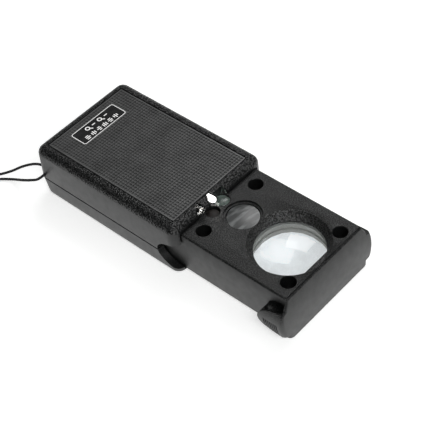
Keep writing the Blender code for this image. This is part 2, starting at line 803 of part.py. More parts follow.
def make_carrier():
    """The plate under the lenses, screwed to the drawer from above."""
    low = (-14.4, -37.6, CARRIER_BOTTOM)
    carrier = box("lens_carrier", low, (14.4, -0.8, CARRIER_TOP), corner=1.5)
    cut(carrier, rod("big_way", (0, BIG_LENS_Y, 5.5), 9.6, 4, segments=28))
    cut(carrier, rod("small_way", (0, SMALL_LENS_Y, 5.5), 4.5, 4))
    for number, (x, y) in enumerate(well_places(), 1):
        cut(carrier, rod(f"thread_{number}", (x, y, 5.5), 1.3, 4, segments=12))
    return paint(carrier, BLACK, 0.6)


def make_tray_screws():
    head = [(0, 9.9), (1.1, 9.7), (1.85, 9.0), (1.85, 8.35)]
    profile = head + [(1.0, 8.35), (1.0, 4.4), (0, 4.4)]
    screws = []
    for number, (x, y) in enumerate(well_places(), 1):
        screw = turned(f"tray_screw_{number}", profile, (x, y, 0), steps=12)
        screws.append(paint(screw, STEEL, 0.35, 1.0))
    return screws


def make_windows():
    """A clear domed window in the white port, and a dark filter low in the ultraviolet port."""
    x, y, radius = WHITE_PORT
    r = radius - GAP
    profile = [(0, 15.8), (0.5 * r, 15.7), (0.85 * r, 15.35), (r, 14.9), (r, 14.4), (0, 14.4)]
    white = turned("light_window", profile, (x, y, 0), steps=24)
    x, y, radius = UV_PORT
    filter_disc = rod("uv_filter", (x, y, 14.75), radius - GAP, 0.5, segments=24)
    return [paint(white, CLEAR, 0.05, 0.0, 0.9), paint(filter_disc, (0.03, 0.015, 0.02), 0.2)]


# ---------------------------------------------------------------- wrist strap


def smooth_path(points, spacing):
    """A smooth curve through route points, read at even steps of about the given spacing."""
    route = [Vector(point) for point in points]
    ends = [2 * route[0] - route[1], *route, 2 * route[-1] - route[-2]]
    path = []
    for before, start, stop, after in zip(ends, ends[1:], ends[2:], ends[3:]):
        count = max(1, round((stop - start).length / spacing))
        for step in range(count):
            t = step / count
            bend = (2 * before - 5 * start + 4 * stop - after) * t * t
            turn = (3 * start - before - 3 * stop + after) * t**3
            path.append(0.5 * (2 * start + (stop - before) * t + bend + turn))
    path.append(route[-1])
    return path


def strap_route():
    """From the knot up to the hole in the side, round the corner pillar, and back to the knot."""
    side_strand = [
        (-27.5, 76.15, 0.68), (-26.2, 75.2, 0.55), (-24.7, 73.45, 0.5), (-23.1, 70.6, 0.8),
        (-22.9, 67.2, 2.45), (-23.0, 63.9, 4.4), (-23.0, 60.5, 6.5), (-21.9, 58.15, 7.4),
    ]
    rear_strand = [
        (-17.2, 62.3, 7.8), (-18.1, 65.3, 6.75), (-19.75, 68.8, 4.85), (-21.9, 72.0, 2.75),
        (-24.3, 74.6, 1.8), (-26.6, 76.8, 1.7),
    ]
    corner = []
    for step in range(4):
        angle = math.radians(-90 + 30 * step)
        x = -CASE_HALF_WIDTH + STRAP_BEND * math.cos(angle)
        y = CASE_LENGTH + STRAP_BEND * math.sin(angle)
        corner.append((x, y, STRAP_HOLE_HEIGHT))
    return side_strand + corner + rear_strand


def make_strap():
    cord = wire("strap_cord", smooth_path(strap_route(), 1.6), CORD_RADIUS)
    knot = ellipsoid("strap_knot", KNOT, (1.35, 1.35, 1.3), segments=16)
    half_width = COIL_COLUMNS * COIL_PITCH / 2
    inner = COIL_MID_RADIUS - half_width
    outer = COIL_MID_RADIUS + half_width
    high = COIL_LAYERS * COIL_PITCH + 0.05
    profile = [(outer, high), (outer, 0.05), (inner, 0.05), (inner, high)]
    coil = turned("strap_coil", profile, (*COIL, 0.0))
    return [paint(piece, DARK, 0.8) for piece in (cord, knot, coil)]


# ---------------------------------------------------------------- assembly


def centre_on_origin():
    """Moves the whole assembly so that the origin is under its middle."""
    middle = (CASE_LENGTH + END_FOOT) / 2
    loose = [piece for piece in (*PARTS.objects, *CUTTERS.objects) if piece.parent is None]
    for piece in loose:
        piece.location.y -= middle * MM


def build():
    case = [make_top_shell(), make_bottom_shell(), make_label(), *make_case_screws()]
    case += make_lamp("white_lamp", WHITE_LAMP_X, -0.45, CLEAR)
    case += make_lamp("uv_lamp", UV_LAMP_X, -0.9, (0.8, 0.82, 0.9))
    case += make_board()
    case += make_battery()
    case += make_wires()
    knob, switch = make_selector()
    case += switch
    drawer = [make_tray(), *make_lenses(), make_carrier(), *make_tray_screws(), *make_windows()]
    drawer.append(make_tube("big_lens_tube", BIG_LENS_Y, 10.9, 9.9, 10.2))
    drawer.append(make_tube("small_lens_tube", SMALL_LENS_Y, 5.95, 4.7, 10.9))
    hang("case", (0, 0, 0), *case, *make_strap())
    hang("drawer", (0, TRAY_REAR, TRAY_BOTTOM), *drawer)
    hang("door", (CELL_X, DOOR_FRONT, 0), *make_door())
    hang("selector", (KNOB_X, KNOB_Y[0], 0), *knob)
    centre_on_origin()


clear_scene()
PARTS = new_collection("banknote_magnifier")
CUTTERS = new_collection("cutters")
build()
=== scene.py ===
"""The looks of a pull-out pocket magnifier: shells, gridded panel, drawer, lenses, lamps and strap.

Sizes are in millimetres. X runs across the case, Y from the case's front face to its back, and Z up
from the floor. place() turns such a point into the row frame, in metres.
"""

import math

import bmesh
import bpy
import numpy as np
from mathutils import Matrix, Vector


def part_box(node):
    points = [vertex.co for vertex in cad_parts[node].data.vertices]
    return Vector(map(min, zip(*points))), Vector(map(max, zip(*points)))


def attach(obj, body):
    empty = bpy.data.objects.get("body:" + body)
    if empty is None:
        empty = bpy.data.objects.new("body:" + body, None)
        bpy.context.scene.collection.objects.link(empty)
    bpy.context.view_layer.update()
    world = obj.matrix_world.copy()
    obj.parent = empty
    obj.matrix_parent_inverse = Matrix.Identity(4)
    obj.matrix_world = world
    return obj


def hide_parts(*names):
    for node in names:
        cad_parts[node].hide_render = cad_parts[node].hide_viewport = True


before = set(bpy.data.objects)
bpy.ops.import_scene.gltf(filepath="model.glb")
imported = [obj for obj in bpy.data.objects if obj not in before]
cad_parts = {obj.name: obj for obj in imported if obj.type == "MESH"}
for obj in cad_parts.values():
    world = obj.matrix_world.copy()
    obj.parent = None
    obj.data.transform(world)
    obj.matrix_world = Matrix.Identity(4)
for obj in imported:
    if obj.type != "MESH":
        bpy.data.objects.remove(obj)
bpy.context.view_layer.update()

MM = 0.001
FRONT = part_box("top_shell")[0].y
CASE_HALF_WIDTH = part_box("top_shell")[1].x / MM
CASE_LENGTH = (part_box("bottom_shell")[1].y - FRONT) / MM
CASE_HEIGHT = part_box("top_shell")[1].z / MM
GAP = 0.3
SIDES = (-1, 1)

# Case
CASE_CORNER = 3.0
TOP_EDGE = 2.6
BOTTOM_EDGE = 1.4
TOP_LEAN = 0.8
BOTTOM_LEAN = 1.6
PARTING = 6.6
FLOOR_TOP = 1.1
FLOOR_ROOT = 0.6
ROOF_UNDERSIDE = 17.5
LIP_UNDERSIDE = 16.2
LIP_DEPTH = 2.2
POCKET_HALF_WIDTH = 14.5
BAY_HALF_WIDTH = 17.1
BAY_END = 57.3
REAR_FLOOR = 2.0
REAR_FLOOR_FRONT = 43.2
REAR_FLOOR_HALF_WIDTH = 14.3
STOP_RIB_X = (14.0, 14.95)
STOP_RIB_Y = (15.0, 16.2)
STOP_RIB_TOP = 4.5
GRAIN_DEPTH = 0.07
GRAIN_SIZE = 0.55

# Gridded panel and label
PANEL_HALF_WIDTH = 16.2
PANEL_Y = (2.9, 56.3)
PANEL_GROOVE = 0.4
PANEL_TOP = 18.93
PANEL_UNDERSIDE = 18.3
PANEL_BED = 18.4
PIT_COLUMNS = 30
PIT_ROWS = 51
PIT_PITCH = (1.03, 1.02)
PIT_FRONT = 3.6
PIT_DEPTH = 0.42
PIT_RINGS = ((0.43, 0.0), (0.42, 0.03), (0.4, PIT_DEPTH))  # half width and drop
LABEL_HALF_WIDTH = 9.1
LABEL_Y = (46.7, 53.4)
LABEL_CELLS_X = 9
LABEL_ROWS = (42, 49)
MARK_LIFT = 0.01

# Drawer
TRAVEL = 38.9
TRAY_HALF_WIDTH = 16.75
TRAY_TOP = 15.9
TRAY_BOTTOM = 1.4
TRAY_WALL = 1.5
TRAY_PLATE = 1.6
TRAY_FRONT_TOP = -39.4
TRAY_REAR = 5.5
TRAY_CORNER = 1.0
END_WALL_INSIDE = -38.0
ARM_REAR = 17.6
ARM_TOP = 12.0
STOP_LUG_INSIDE = 14.6
STOP_LUG_FRONT = 16.6
STOP_LUG_TOP = 5.0
END_FOOT = -40.6
END_UPRIGHT = 3.0
CAP_REAR = -39.05
CAP_HALF_WIDTHS = (  # height and half width, below and above the ears
    (0.02, 17.4), (0.2, 17.6), (2.1, 17.65), (11.9, 18.4), (12.8, 18.05), (13.6, 17.6), (14.4, 17.1),
    (15.1, 16.75), (15.5, 16.6),
)
CAP_CORNER = 1.6
GRIP_LENGTH = 8.2
GRIP_HALF_HEIGHT = 5.0
GRIP_HEIGHT = 7.0
EAR_LENGTH = 7.7
EAR_HALF_HEIGHT = 4.7
EAR_OUTSIDE = 20.5
EAR_BULGE = 13.0
EAR_RIBS = 7
EAR_RIB_FRONT = -33.7
EAR_RIB_PITCH = -0.76
EAR_RIB_BITE = 1.8
EAR_RIB_HEIGHTS = (1.8, 8.0)
SCOOP = (17.6, -35.7, 10.4)
SCOOP_RADII = (2.2, 3.9, 2.4)
SCOOP_TILT = -0.45

# Lenses, ports and wells
BIG_LENS_Y = -26.5
BIG_LENS_RADIUS = 11.0
BIG_APERTURE = 10.5
BIG_RIM = 12.1
BIG_SEAT_HEIGHT = 12.9
BIG_LENS_LOW = 10.9
BIG_LENS_CURVE = 20.0
BIG_LENS_EDGE = 1.3
RIB_EDGE = -35.65
SMALL_LENS_Y = -9.2
SMALL_LENS_RADIUS = 5.8
SMALL_APERTURE = 5.05
SMALL_RIM = 5.75
SMALL_LENS_LOW = 11.7
SMALL_LENS_CURVE = 25.0
SMALL_LENS_EDGE = 3.3
SMALL_LENS_STEP = 2.0
WELL_X = 11.5
WELL_Y = (-4.2, -35.6)
WELL_RADIUS = 2.25
WELL_BOTTOM = 8.0
BOSS_RADIUS = 3.0
BOSS_BOTTOM = 6.5
SCREW_WAY_RADIUS = 1.3
WHITE_PORT = (0.8, -0.1, 2.6)
UV_PORT = (-4.4, -1.4, 2.2)
DOME_LOW = 14.75
DOME_RISE = 1.2
LAMP_RADIUS = 1.35
LAMP_HEIGHT = 17.6
LAMP_BACK = 2.3
WHITE_LAMP_X = -1.85
UV_LAMP_X = -7.1
NOTCH = (-3.5, 3.4, 1.55)

# Underside
DOOR_X = (-12.9, 0.9)
DOOR_FRONT = 44.0
KNOB_X = 7.0
KNOB_Y = (48.0, 51.0)
SELECTOR_TRAVEL = 3.5
CASE_SCREW_X = 12.6
CASE_SCREW_Y = (46.8, 55.3)

# Wrist strap
CORD_DIAMETER = 0.9
STRAP_HOLE_HEIGHT = 7.9
STRAP_BEND = 2.55
STRAP_HOLE_RADIUS = 0.75
KNOT = (-28.0, 77.6, 1.35)
COIL = (-32.75, 84.4)
COIL_PITCH = 0.97
COIL_RADII = tuple(3.245 + COIL_PITCH * column for column in range(4))
COIL_LOW = 0.55
TWIST_PITCH = 2.6

# Light
SKY = ((0.0, 0.02), (0.5, 0.02), (0.8, 0.08), (1.0, 0.5))
BACKDROP = (0.82, 0.82, 0.82, 1.0)
FLOOR_SIZE = 800
FLOOR_DROP = 0.05
FLOOR_GLOW = 0.7
LIGHT_AIM = (0, 10, 5)
LIGHTS = {  # direction from the object, distance and size in metres, power in watts
    "key": ((0.3, 0.4, 0.9), 0.6, 0.4, 0.25),
    "side": ((0.8, 0.3, 0.9), 0.7, 0.4, 1.7),
    "front": ((-0.35, -0.62, 0.7), 0.7, 0.35, 2.0),
    "low": ((0.1, -0.9, 0.45), 0.7, 0.35, 0.9),
}

# Camera
TARGET = (1.07, 2.76, 5.68)
CAMERA_AZIMUTH = math.radians(-42.456)
CAMERA_ELEVATION = math.radians(47.112)
CAMERA_ROLL = math.radians(-7.889)
CAMERA_DISTANCE = 366.9
CAMERA_LENS = 100.98
CAMERA_SENSOR = 36.0


def place(x, y, z):
    return Vector((x * MM, FRONT + y * MM, z * MM))


def add_object(name, data):
    item = bpy.data.objects.new(name, data)
    bpy.context.scene.collection.objects.link(item)
    return item


# ------ camera, floor and light


def make_camera():
    """Looks down at the case from its front left, turned a little about its own line of sight."""
    east, south = math.sin(CAMERA_AZIMUTH), math.cos(CAMERA_AZIMUTH)
    reach = math.cos(CAMERA_ELEVATION)
    back = Vector((east * reach, -south * reach, math.sin(CAMERA_ELEVATION)))
    level = Vector((south, east, 0.0))
    right = Matrix.Rotation(CAMERA_ROLL, 3, back) @ level
    up = back.cross(right)
    camera = add_object("camera", bpy.data.cameras.new("camera"))
    camera.data.lens = CAMERA_LENS
    camera.data.sensor_width = CAMERA_SENSOR
    camera.data.clip_start = 0.01
    turn = Matrix((right, up, back)).transposed().to_4x4()
    spot = place(*TARGET) + back * CAMERA_DISTANCE * MM
    camera.matrix_world = Matrix.Translation(spot) @ turn
    bpy.context.scene.camera = camera


def make_floor():
    """A pale sheet of paper that glows a little, just under the object."""
    shape = bmesh.new()
    bmesh.ops.create_grid(shape, x_segments=2, y_segments=2, size=FLOOR_SIZE)
    floor = add_mesh("floor", shape, (0, 0, 0))
    material, shader = new_material("floor_paper")
    shade = ramp(material, noise(material, 60.0), (0.3, (0.78, 0.785, 0.78)), (0.7, (0.82, 0.822, 0.82)))
    light_up(material, shader, shade, FLOOR_GLOW)
    shader.inputs["Roughness"].default_value = 0.9
    floor.data.materials.append(material)
    floor.location = (0, 0, -FLOOR_DROP * MM)


def make_lights():
    """A dark room with a bright ceiling and four soft lights. The camera sees a pale backdrop instead."""
    world = bpy.data.worlds.new("studio")
    world.use_nodes = True
    room = world.node_tree.nodes["Background"]
    sky = ramp(world, upward(world, "ShaderNodeTexCoord", "Generated"), *SKY)
    link(world, sky, room.inputs["Color"])
    backdrop = new_node(world, "ShaderNodeBackground")
    backdrop.inputs["Color"].default_value = BACKDROP
    swap_for_ray(world, "Is Camera Ray", room, backdrop, "World Output")
    bpy.context.scene.world = world
    for name, (direction, distance, size, power) in LIGHTS.items():
        lamp = add_object(name, bpy.data.lights.new(name, "AREA"))
        lamp.data.size = size
        lamp.data.energy = power
        towards = Vector(direction).normalized()
        lamp.location = place(*LIGHT_AIM) + towards * distance
        lamp.rotation_euler = towards.to_track_quat("Z", "Y").to_euler()
    bpy.context.scene.view_settings.view_transform = "Standard"


# ------ materials


def link(owner, source, target):
    owner.node_tree.links.new(source, target)


def new_node(owner, kind):
    return owner.node_tree.nodes.new(kind)


def new_material(name):
    material = bpy.data.materials.new(name)
    material.use_nodes = True
    return material, material.node_tree.nodes["Principled BSDF"]


def noise(material, scale_mm, detail=3.0):
    """Noise in the row frame, whose blobs are about the given size in millimetres."""
    where = new_node(material, "ShaderNodeTexCoord")
    texture = new_node(material, "ShaderNodeTexNoise")
    texture.inputs["Scale"].default_value = 1.0 / (scale_mm * MM)
    texture.inputs["Detail"].default_value = detail
    link(material, where.outputs["Object"], texture.inputs["Vector"])
    return texture.outputs["Fac"]


def ramp(owner, value, *stops):
    """Colours along a value, for a material or a world. Each stop is (place, colour or grey)."""
    node = new_node(owner, "ShaderNodeValToRGB")
    elements = node.color_ramp.elements
    while len(elements) < len(stops):
        elements.new(0.5)
    for element, (spot, colour) in zip(elements, stops):
        element.position = spot
        element.color = (*colour, 1.0) if isinstance(colour, tuple) else (colour, colour, colour, 1.0)
    link(owner, value, node.inputs["Fac"])
    return node.outputs["Color"]


def drive(material, shader, entry, value, *stops):
    """Lets a ramp along a value set one of the shader's inputs."""
    link(material, ramp(material, value, *stops), shader.inputs[entry])


def scaled(colour, factor):
    return tuple(factor * part for part in colour)


def upward(owner, kind, output):
    """The Z part of a vector that a node gives."""
    source = new_node(owner, kind)
    split = new_node(owner, "ShaderNodeSeparateXYZ")
    link(owner, source.outputs[output], split.inputs["Vector"])
    return split.outputs["Z"]


def bump(material, shader, height, depth_mm):
    """Roughens a surface. Gives the node, so that its strength can be driven."""
    node = new_node(material, "ShaderNodeBump")
    node.inputs["Strength"].default_value = 1.0
    node.inputs["Distance"].default_value = depth_mm * MM
    link(material, height, node.inputs["Height"])
    link(material, node.outputs["Normal"], shader.inputs["Normal"])
    return node


def swap_for_ray(owner, ray, usual, special, output):
    """Sends a shader to an output, and another one for one kind of ray."""
    path = new_node(owner, "ShaderNodeLightPath")
    mix = new_node(owner, "ShaderNodeMixShader")
    link(owner, path.outputs[ray], mix.inputs["Fac"])
    link(owner, usual.outputs[0], mix.inputs[1])
    link(owner, special.outputs[0], mix.inputs[2])
    link(owner, mix.outputs["Shader"], owner.node_tree.nodes[output].inputs["Surface"])


def light_up(material, shader, shade, strength):
    """Gives a surface one shade both by reflection and by its own light."""
    link(material, shade, shader.inputs["Base Color"])
    link(material, shade, shader.inputs["Emission Color"])
    shader.inputs["Emission Strength"].default_value = strength


def plastic(name, colour, roughness, grain_mm, grain_depth, specular=0.5, speck=0.0, wall_shine=(1.0, 1.0)):
    """Moulded plastic: a fine spark-eroded grain, uneven gloss and a slightly uneven colour.

    speck makes the grain's tops glossier and its valleys duller, on all faces but upright ones.
    wall_shine is how much upright faces shine, at the floor and near the object's top."""
    material, shader = new_material(name)
    spread = 0.2 if max(colour) < 0.1 else 0.05
    stops = (0.3, scaled(colour, 1 - spread)), (0.7, scaled(colour, 1 + spread))
    drive(material, shader, "Base Color", noise(material, 6.0), *stops)
    gloss = (0.3, roughness - 0.05), (0.7, roughness + 0.06)
    drive(material, shader, "Roughness", noise(material, 2.5), *gloss)
    shader.inputs["Specular IOR Level"].default_value = specular
    grain = noise(material, grain_mm, 2.0)
    relief = bump(material, shader, grain, grain_depth)
    if speck > 0:
        dull, bright = specular * (1 - speck), min(1.0, specular * (1 + speck))
        speckled = ramp(material, grain, (0.42, dull), (0.62, bright))
        low, high = (min(1.0, specular * part) for part in wall_shine)
        height = upward(material, "ShaderNodeTexCoord", "Object")
        even = ramp(material, height, (0.002, low), (0.016, high))
        normal = upward(material, "ShaderNodeNewGeometry", "Normal")
        facing = ramp(material, normal, (0.1, 0.0), (0.3, 1.0))
        blend = new_node(material, "ShaderNodeMix")
        blend.data_type = "RGBA"
        link(material, facing, blend.inputs["Factor"])
        link(material, facing, relief.inputs["Strength"])
        link(material, even, blend.inputs["A"])
        link(material, speckled, blend.inputs["B"])
        link(material, blend.outputs["Result"], shader.inputs["Specular IOR Level"])
    return material


def metal(name, colour, roughness):
    """Metal with uneven gloss and fine scratches."""
    material, shader = new_material(name)
    shader.inputs["Metallic"].default_value = 1.0
    drive(material, shader, "Base Color", noise(material, 1.5), (0.35, scaled(colour, 0.75)), (0.65, colour))
    gloss = (0.3, roughness - 0.08), (0.7, roughness + 0.1)
    drive(material, shader, "Roughness", noise(material, 0.4), *gloss)
    bump(material, shader, noise(material, 0.2), 0.01)
    return material


def clear(name, colour, roughness=0.01, ior=1.49):
    """Clear resin or glass, with faint smears. It lets light through to what's under it."""
    material, shader = new_material(name)
    drive(material, shader, "Base Color", noise(material, 4.0), (0.35, scaled(colour, 0.9)), (0.6, colour))
    shader.inputs["Transmission Weight"].default_value = 1.0
    shader.inputs["IOR"].default_value = ior
    smear = (0.4, roughness), (0.75, roughness + 0.05)
    drive(material, shader, "Roughness", noise(material, 3.0), *smear)
    through = new_node(material, "ShaderNodeBsdfTransparent")
    through.inputs["Color"].default_value = (*colour, 1.0)
    swap_for_ray(material, "Is Shadow Ray", shader, through, "Material Output")
    return material


def painted_grey_glass(name, colour):
    """Glass painted an even grey with paler streaks across it at a slant. The grey is painted shade that
    stands in for the dark tube seen through the lens.
    """
    material, shader = new_material(name)
    streaks = noise(material, 1.3, 2.0)
    vector = streaks.node.inputs["Vector"]
    stretch = new_node(material, "ShaderNodeMapping")
    stretch.vector_type = "TEXTURE"
    stretch.inputs["Rotation"].default_value = (0.0, 0.0, -0.2)
    stretch.inputs["Scale"].default_value = (4.5, 1.0, 1.0)
    link(material, vector.links[0].from_socket, stretch.inputs["Vector"])
    link(material, stretch.outputs["Vector"], vector)
    # Painted shade: the grey stands in for the dark tube seen through the lens; paler streaks run across it.
    drive(material, shader, "Base Color", streaks, (0.45, scaled(colour, 0.7)), (0.68, scaled(colour, 2.2)))
    shader.inputs["Transmission Weight"].default_value = 0.25
    shader.inputs["Roughness"].default_value = 0.25
    return material


def glow(name, colour, strength):
    """A surface that shines by itself."""
    material, shader = new_material(name)
    shade = ramp(material, noise(material, 0.5), (0.2, scaled(colour, 0.9)), (0.8, colour))
    light_up(material, shader, shade, strength)
    return material


# ------ shapes


def add_mesh(name, shape, centre=(0.0, 0.0, 0.0)):
    """Turns a bmesh in millimetres, round a centre, into an object in the row frame."""
    bmesh.ops.scale(shape, vec=(MM, MM, MM), verts=shape.verts)
    bmesh.ops.translate(shape, vec=place(*centre), verts=shape.verts)
    mesh = bpy.data.meshes.new(name)
    shape.to_mesh(mesh)
    shape.free()
    return add_object(name, mesh)


def box(name, low, high, corner=0.0, axis=2):
    """A box between two corners. corner rounds its four edges along one axis."""
    size = [b - a for a, b in zip(low, high)]
    centre = [(a + b) / 2 for a, b in zip(low, high)]
    shape = bmesh.new()
    bmesh.ops.create_cube(shape, size=1.0, matrix=Matrix.Diagonal((*size, 1.0)))
    if corner > 0:
        edges = [e for e in shape.edges if runs_along(e) == axis]
        bmesh.ops.bevel(shape, geom=edges, offset=corner, segments=6, profile=0.5, affect="EDGES")
    return add_mesh(name, shape, centre)


def runs_along(edge):
    """The axis that an edge runs along: 0, 1 or 2."""
    run = edge.verts[1].co - edge.verts[0].co
    return max(range(3), key=lambda i: abs(run[i]))


# The rotation that brings +Z to each axis.
TURN_TO = {
    "X": Matrix.Rotation(math.pi / 2, 4, "Y"),
    "Y": Matrix.Rotation(-math.pi / 2, 4, "X"),
    "Z": Matrix.Identity(4),
}


def rod(name, centre, radius, length, axis="Z", segments=48, stretch=(1.0, 1.0, 1.0)):
    """A cylinder about a line through centre. stretch makes it elliptic."""
    shape = bmesh.new()
    size = {"segments": segments, "radius1": radius, "radius2": radius, "depth": length}
    bmesh.ops.create_cone(shape, cap_ends=True, matrix=TURN_TO[axis], **size)
    bmesh.ops.scale(shape, vec=stretch, verts=shape.verts)
    return add_mesh(name, shape, centre)


def ball(name, centre, radii, tilt):
    """An ellipsoid, turned about X by tilt."""
    shape = bmesh.new()
    bmesh.ops.create_uvsphere(shape, u_segments=64, v_segments=32, radius=1.0)
    bmesh.ops.scale(shape, vec=radii, verts=shape.verts)
    bmesh.ops.rotate(shape, matrix=Matrix.Rotation(tilt, 3, "X"), verts=shape.verts)
    return add_mesh(name, shape, centre)


def circle(radius, steps):
    """The (x, y) points of a circle round the origin."""
    for step in range(steps):
        angle = 2 * math.pi * step / steps
        yield radius * math.cos(angle), radius * math.sin(angle)


def bridge(shape, outer, inner):
    """Faces between two rings of vertices."""
    faces = []
    for step in range(len(outer)):
        after = (step + 1) % len(outer)
        faces.append(shape.faces.new((outer[step], outer[after], inner[after], inner[step])))
    return faces


def turned(name, profile, centre, axis="Z", steps=64):
    """A turned shape. Its profile is (radius, height) along the outer side. A radius of 0 closes it."""
    shape = bmesh.new()
    rings = []
    for radius, height in profile:
        points = circle(radius, steps) if radius > 0 else [(0, 0)]
        rings.append([shape.verts.new((x, y, height)) for x, y in points])
    pairs = list(zip(rings, rings[1:]))
    if profile[0][0] > 0:
        pairs.append((rings[-1], rings[0]))
    for above, below in pairs:
        for step in range(steps):
            after = (step + 1) % steps
            corners = [above[step % len(above)], above[after % len(above)]]
            corners += [below[after % len(below)], below[step % len(below)]]
            shape.faces.new(list(dict.fromkeys(corners)))
    bmesh.ops.recalc_face_normals(shape, faces=shape.faces)
    bmesh.ops.transform(shape, matrix=TURN_TO[axis], verts=shape.verts)
    return add_mesh(name, shape, centre)


def rounded_loop(x, y, radii, z, counts, arc=8):
    """Points round a rectangle with rounded corners, anticlockwise from above."""
    corners = ((x[0], y[0], 1, 1), (x[1], y[0], -1, 1), (x[1], y[1], -1, -1), (x[0], y[1], 1, -1))
    arcs = []
    for number, (corner_x, corner_y, side_x, side_y) in enumerate(corners):
        radius = radii[number]
        angles = math.pi + math.pi / 2 * (number + np.linspace(0, 1, arc + 1))
        arc_x = corner_x + side_x * radius + radius * np.cos(angles)
        arc_y = corner_y + side_y * radius + radius * np.sin(angles)
        arcs.append(np.column_stack((arc_x, arc_y)))
    parts = []
    for number in range(4):
        start, stop = arcs[number][-1], arcs[(number + 1) % 4][0]
        steps = np.linspace(0, 1, counts[number % 2] + 2)[1:-1, None]
        parts += [arcs[number], start + (stop - start) * steps]
    plan = np.vstack(parts)
    return np.column_stack((plan, np.full(len(plan), z)))


def skin(name, loops):
    """A closed solid through loops of as many points each, from the lowest up."""
    count = len(loops[0])
    faces = [list(range(count))[::-1]]
    for level in range(len(loops) - 1):
        base = level * count
        for step in range(count):
            after = (step + 1) % count
            faces.append((base + step, base + after, base + count + after, base + count + step))
    top = (len(loops) - 1) * count
    faces.append(list(range(top, top + count)))
    mesh = bpy.data.meshes.new(name)
    mesh.from_pydata([place(*point) for point in np.vstack(loops)], [], faces)
    mesh.update()
    return add_object(name, mesh)


# ------ cutting and finishing


def cut(target, *tools):
    combine(target, "DIFFERENCE", tools)


def join(target, *tools):
    combine(target, "UNION", tools)


def combine(target, operation, tools):
    for tool in tools:
        step = target.modifiers.new(tool.name, "BOOLEAN")
        step.operation = operation
        step.solver = "EXACT"
        step.object = tool


def settle(piece):
    """Makes a piece's modifiers final and takes away the solids that it was cut with."""
    view = bpy.context.evaluated_depsgraph_get()
    mesh = bpy.data.meshes.new_from_object(piece.evaluated_get(view))
    tools = [step.object for step in piece.modifiers if step.type == "BOOLEAN"]
    piece.modifiers.clear()
    piece.data = mesh
    for tool in tools:
        bpy.data.objects.remove(tool)
    return piece


def dress(piece, material, body, *replaced, angle=30.0):
    """Smooth shading, one material, the CAD body that it rides on, and the CAD nodes it stands for."""
    piece.data.shade_smooth()
    piece.data.set_sharp_from_angle(angle=math.radians(angle))
    piece.data.materials.clear()
    piece.data.materials.append(MATERIALS[material])
    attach(piece, body)
    if replaced:
        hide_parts(*replaced)
    return piece


def span(side, near, far):
    return sorted((side * near, side * far))


# ------ case


def quarter(radius, steps):
    """(inset, rise) pairs round a quarter circle, from the wall to the flat."""
    for step in range(1, steps + 1):
        angle = math.pi / 2 * step / steps
        yield radius * (1 - math.cos(angle)), radius * math.sin(angle)


def case_loop(inset, z, back, counts):
    """The case's outline at a height, drawn in by inset."""
    corner = max(CASE_CORNER - inset, 0.4)
    x = (inset - CASE_HALF_WIDTH, CASE_HALF_WIDTH - inset)
    return rounded_loop(x, (inset, back - inset), (corner,) * 4, z, counts)


def case_top_blank():
    """The top shell, solid, with its panel's bed sunk into the roof and its edges marked for a leathery
    grain.
    """
    counts = (110, 180)
    low = PARTING + GAP / 2
    wall_top = CASE_HEIGHT - TOP_EDGE

    def back(z):
        return CASE_LENGTH - TOP_LEAN * (z - low) / (CASE_HEIGHT - low)

    levels = [(0.12, low)]
    levels += [(0, z) for z in (low + 0.12, 9.0, 12.0, 14.0, 15.4, wall_top)]
    levels += [(inset, wall_top + rise) for inset, rise in quarter(TOP_EDGE, 18)]
    loops = [case_loop(inset, z, back(z), counts) for inset, z in levels]
    grained = len(loops)
    x = (-PANEL_HALF_WIDTH, PANEL_HALF_WIDTH)
    for out, z in ((0.25, CASE_HEIGHT), (0.06, CASE_HEIGHT), (0.0, CASE_HEIGHT - 0.06), (0.0, PANEL_BED)):
        rim = (x[0] - out, x[1] + out), (PANEL_Y[0] - out, PANEL_Y[1] + out)
        loops.append(rounded_loop(*rim, (0.3 + out,) * 4, z, counts))
    blank = skin("case_top", loops)
    group = blank.vertex_groups.new(name="grain")
    count = len(loops[0])
    group.add(list(range(6 * count, (grained + 1) * count)), 1.0, "REPLACE")
    return blank


def press_grain(shell):
    """Presses the leathery grain into the vertices of the group of that name."""
    texture = bpy.data.textures.new("grain", "CLOUDS")
    texture.noise_scale = GRAIN_SIZE * MM
    texture.noise_depth = 1
    press = shell.modifiers.new("grain", "DISPLACE")
    press.texture = texture
    press.texture_coords = "LOCAL"
    press.vertex_group = "grain"
    press.mid_level = 0.75
    press.strength = GRAIN_DEPTH * MM


def grip_cutter():
    """The half ellipse that both shells lack at the front, on both sides."""
    reach = 2 * CASE_HALF_WIDTH + 4
    stretch = (1.0, GRIP_LENGTH, GRIP_HALF_HEIGHT)
    return rod("grips", (0, 0, GRIP_HEIGHT), 1.0, reach, "X", 96, stretch)


def make_case_top():
    """The top shell, with its lamp bores, notch, drawer bay, grips and the strap's curved tunnel."""
    shell = case_top_blank()
    for name, x in (("white_bore", WHITE_LAMP_X), ("uv_bore", UV_LAMP_X)):
        length = LAMP_BACK + 2.1
        bore = rod(name, (x, length / 2 - 2, LAMP_HEIGHT), LAMP_RADIUS + 0.2, length, "Y")
        cut(shell, bore)
    low_x, high_x, depth = NOTCH
    cut(shell, box("notch", (low_x, -2, LIP_UNDERSIDE - 1), (high_x, depth, CASE_HEIGHT + 1), 1.1))
    bay = box("bay", (-BAY_HALF_WIDTH, -1, 5), (BAY_HALF_WIDTH, BAY_END, LIP_UNDERSIDE))
    pocket_low = (-POCKET_HALF_WIDTH, LIP_DEPTH, LIP_UNDERSIDE - 1)
    pocket = box("pocket", pocket_low, (POCKET_HALF_WIDTH, BAY_END, ROOF_UNDERSIDE))
    cut(shell, bay, pocket, grip_cutter())
    bpy.ops.mesh.primitive_torus_add(
        location=place(-CASE_HALF_WIDTH, CASE_LENGTH, STRAP_HOLE_HEIGHT),
        major_radius=STRAP_BEND * MM,
        minor_radius=STRAP_HOLE_RADIUS * MM,
        major_segments=48,
        minor_segments=20,
    )
    cut(shell, bpy.context.active_object)
    press_grain(shell)
    dress(settle(shell), "case", "case", "top_shell")


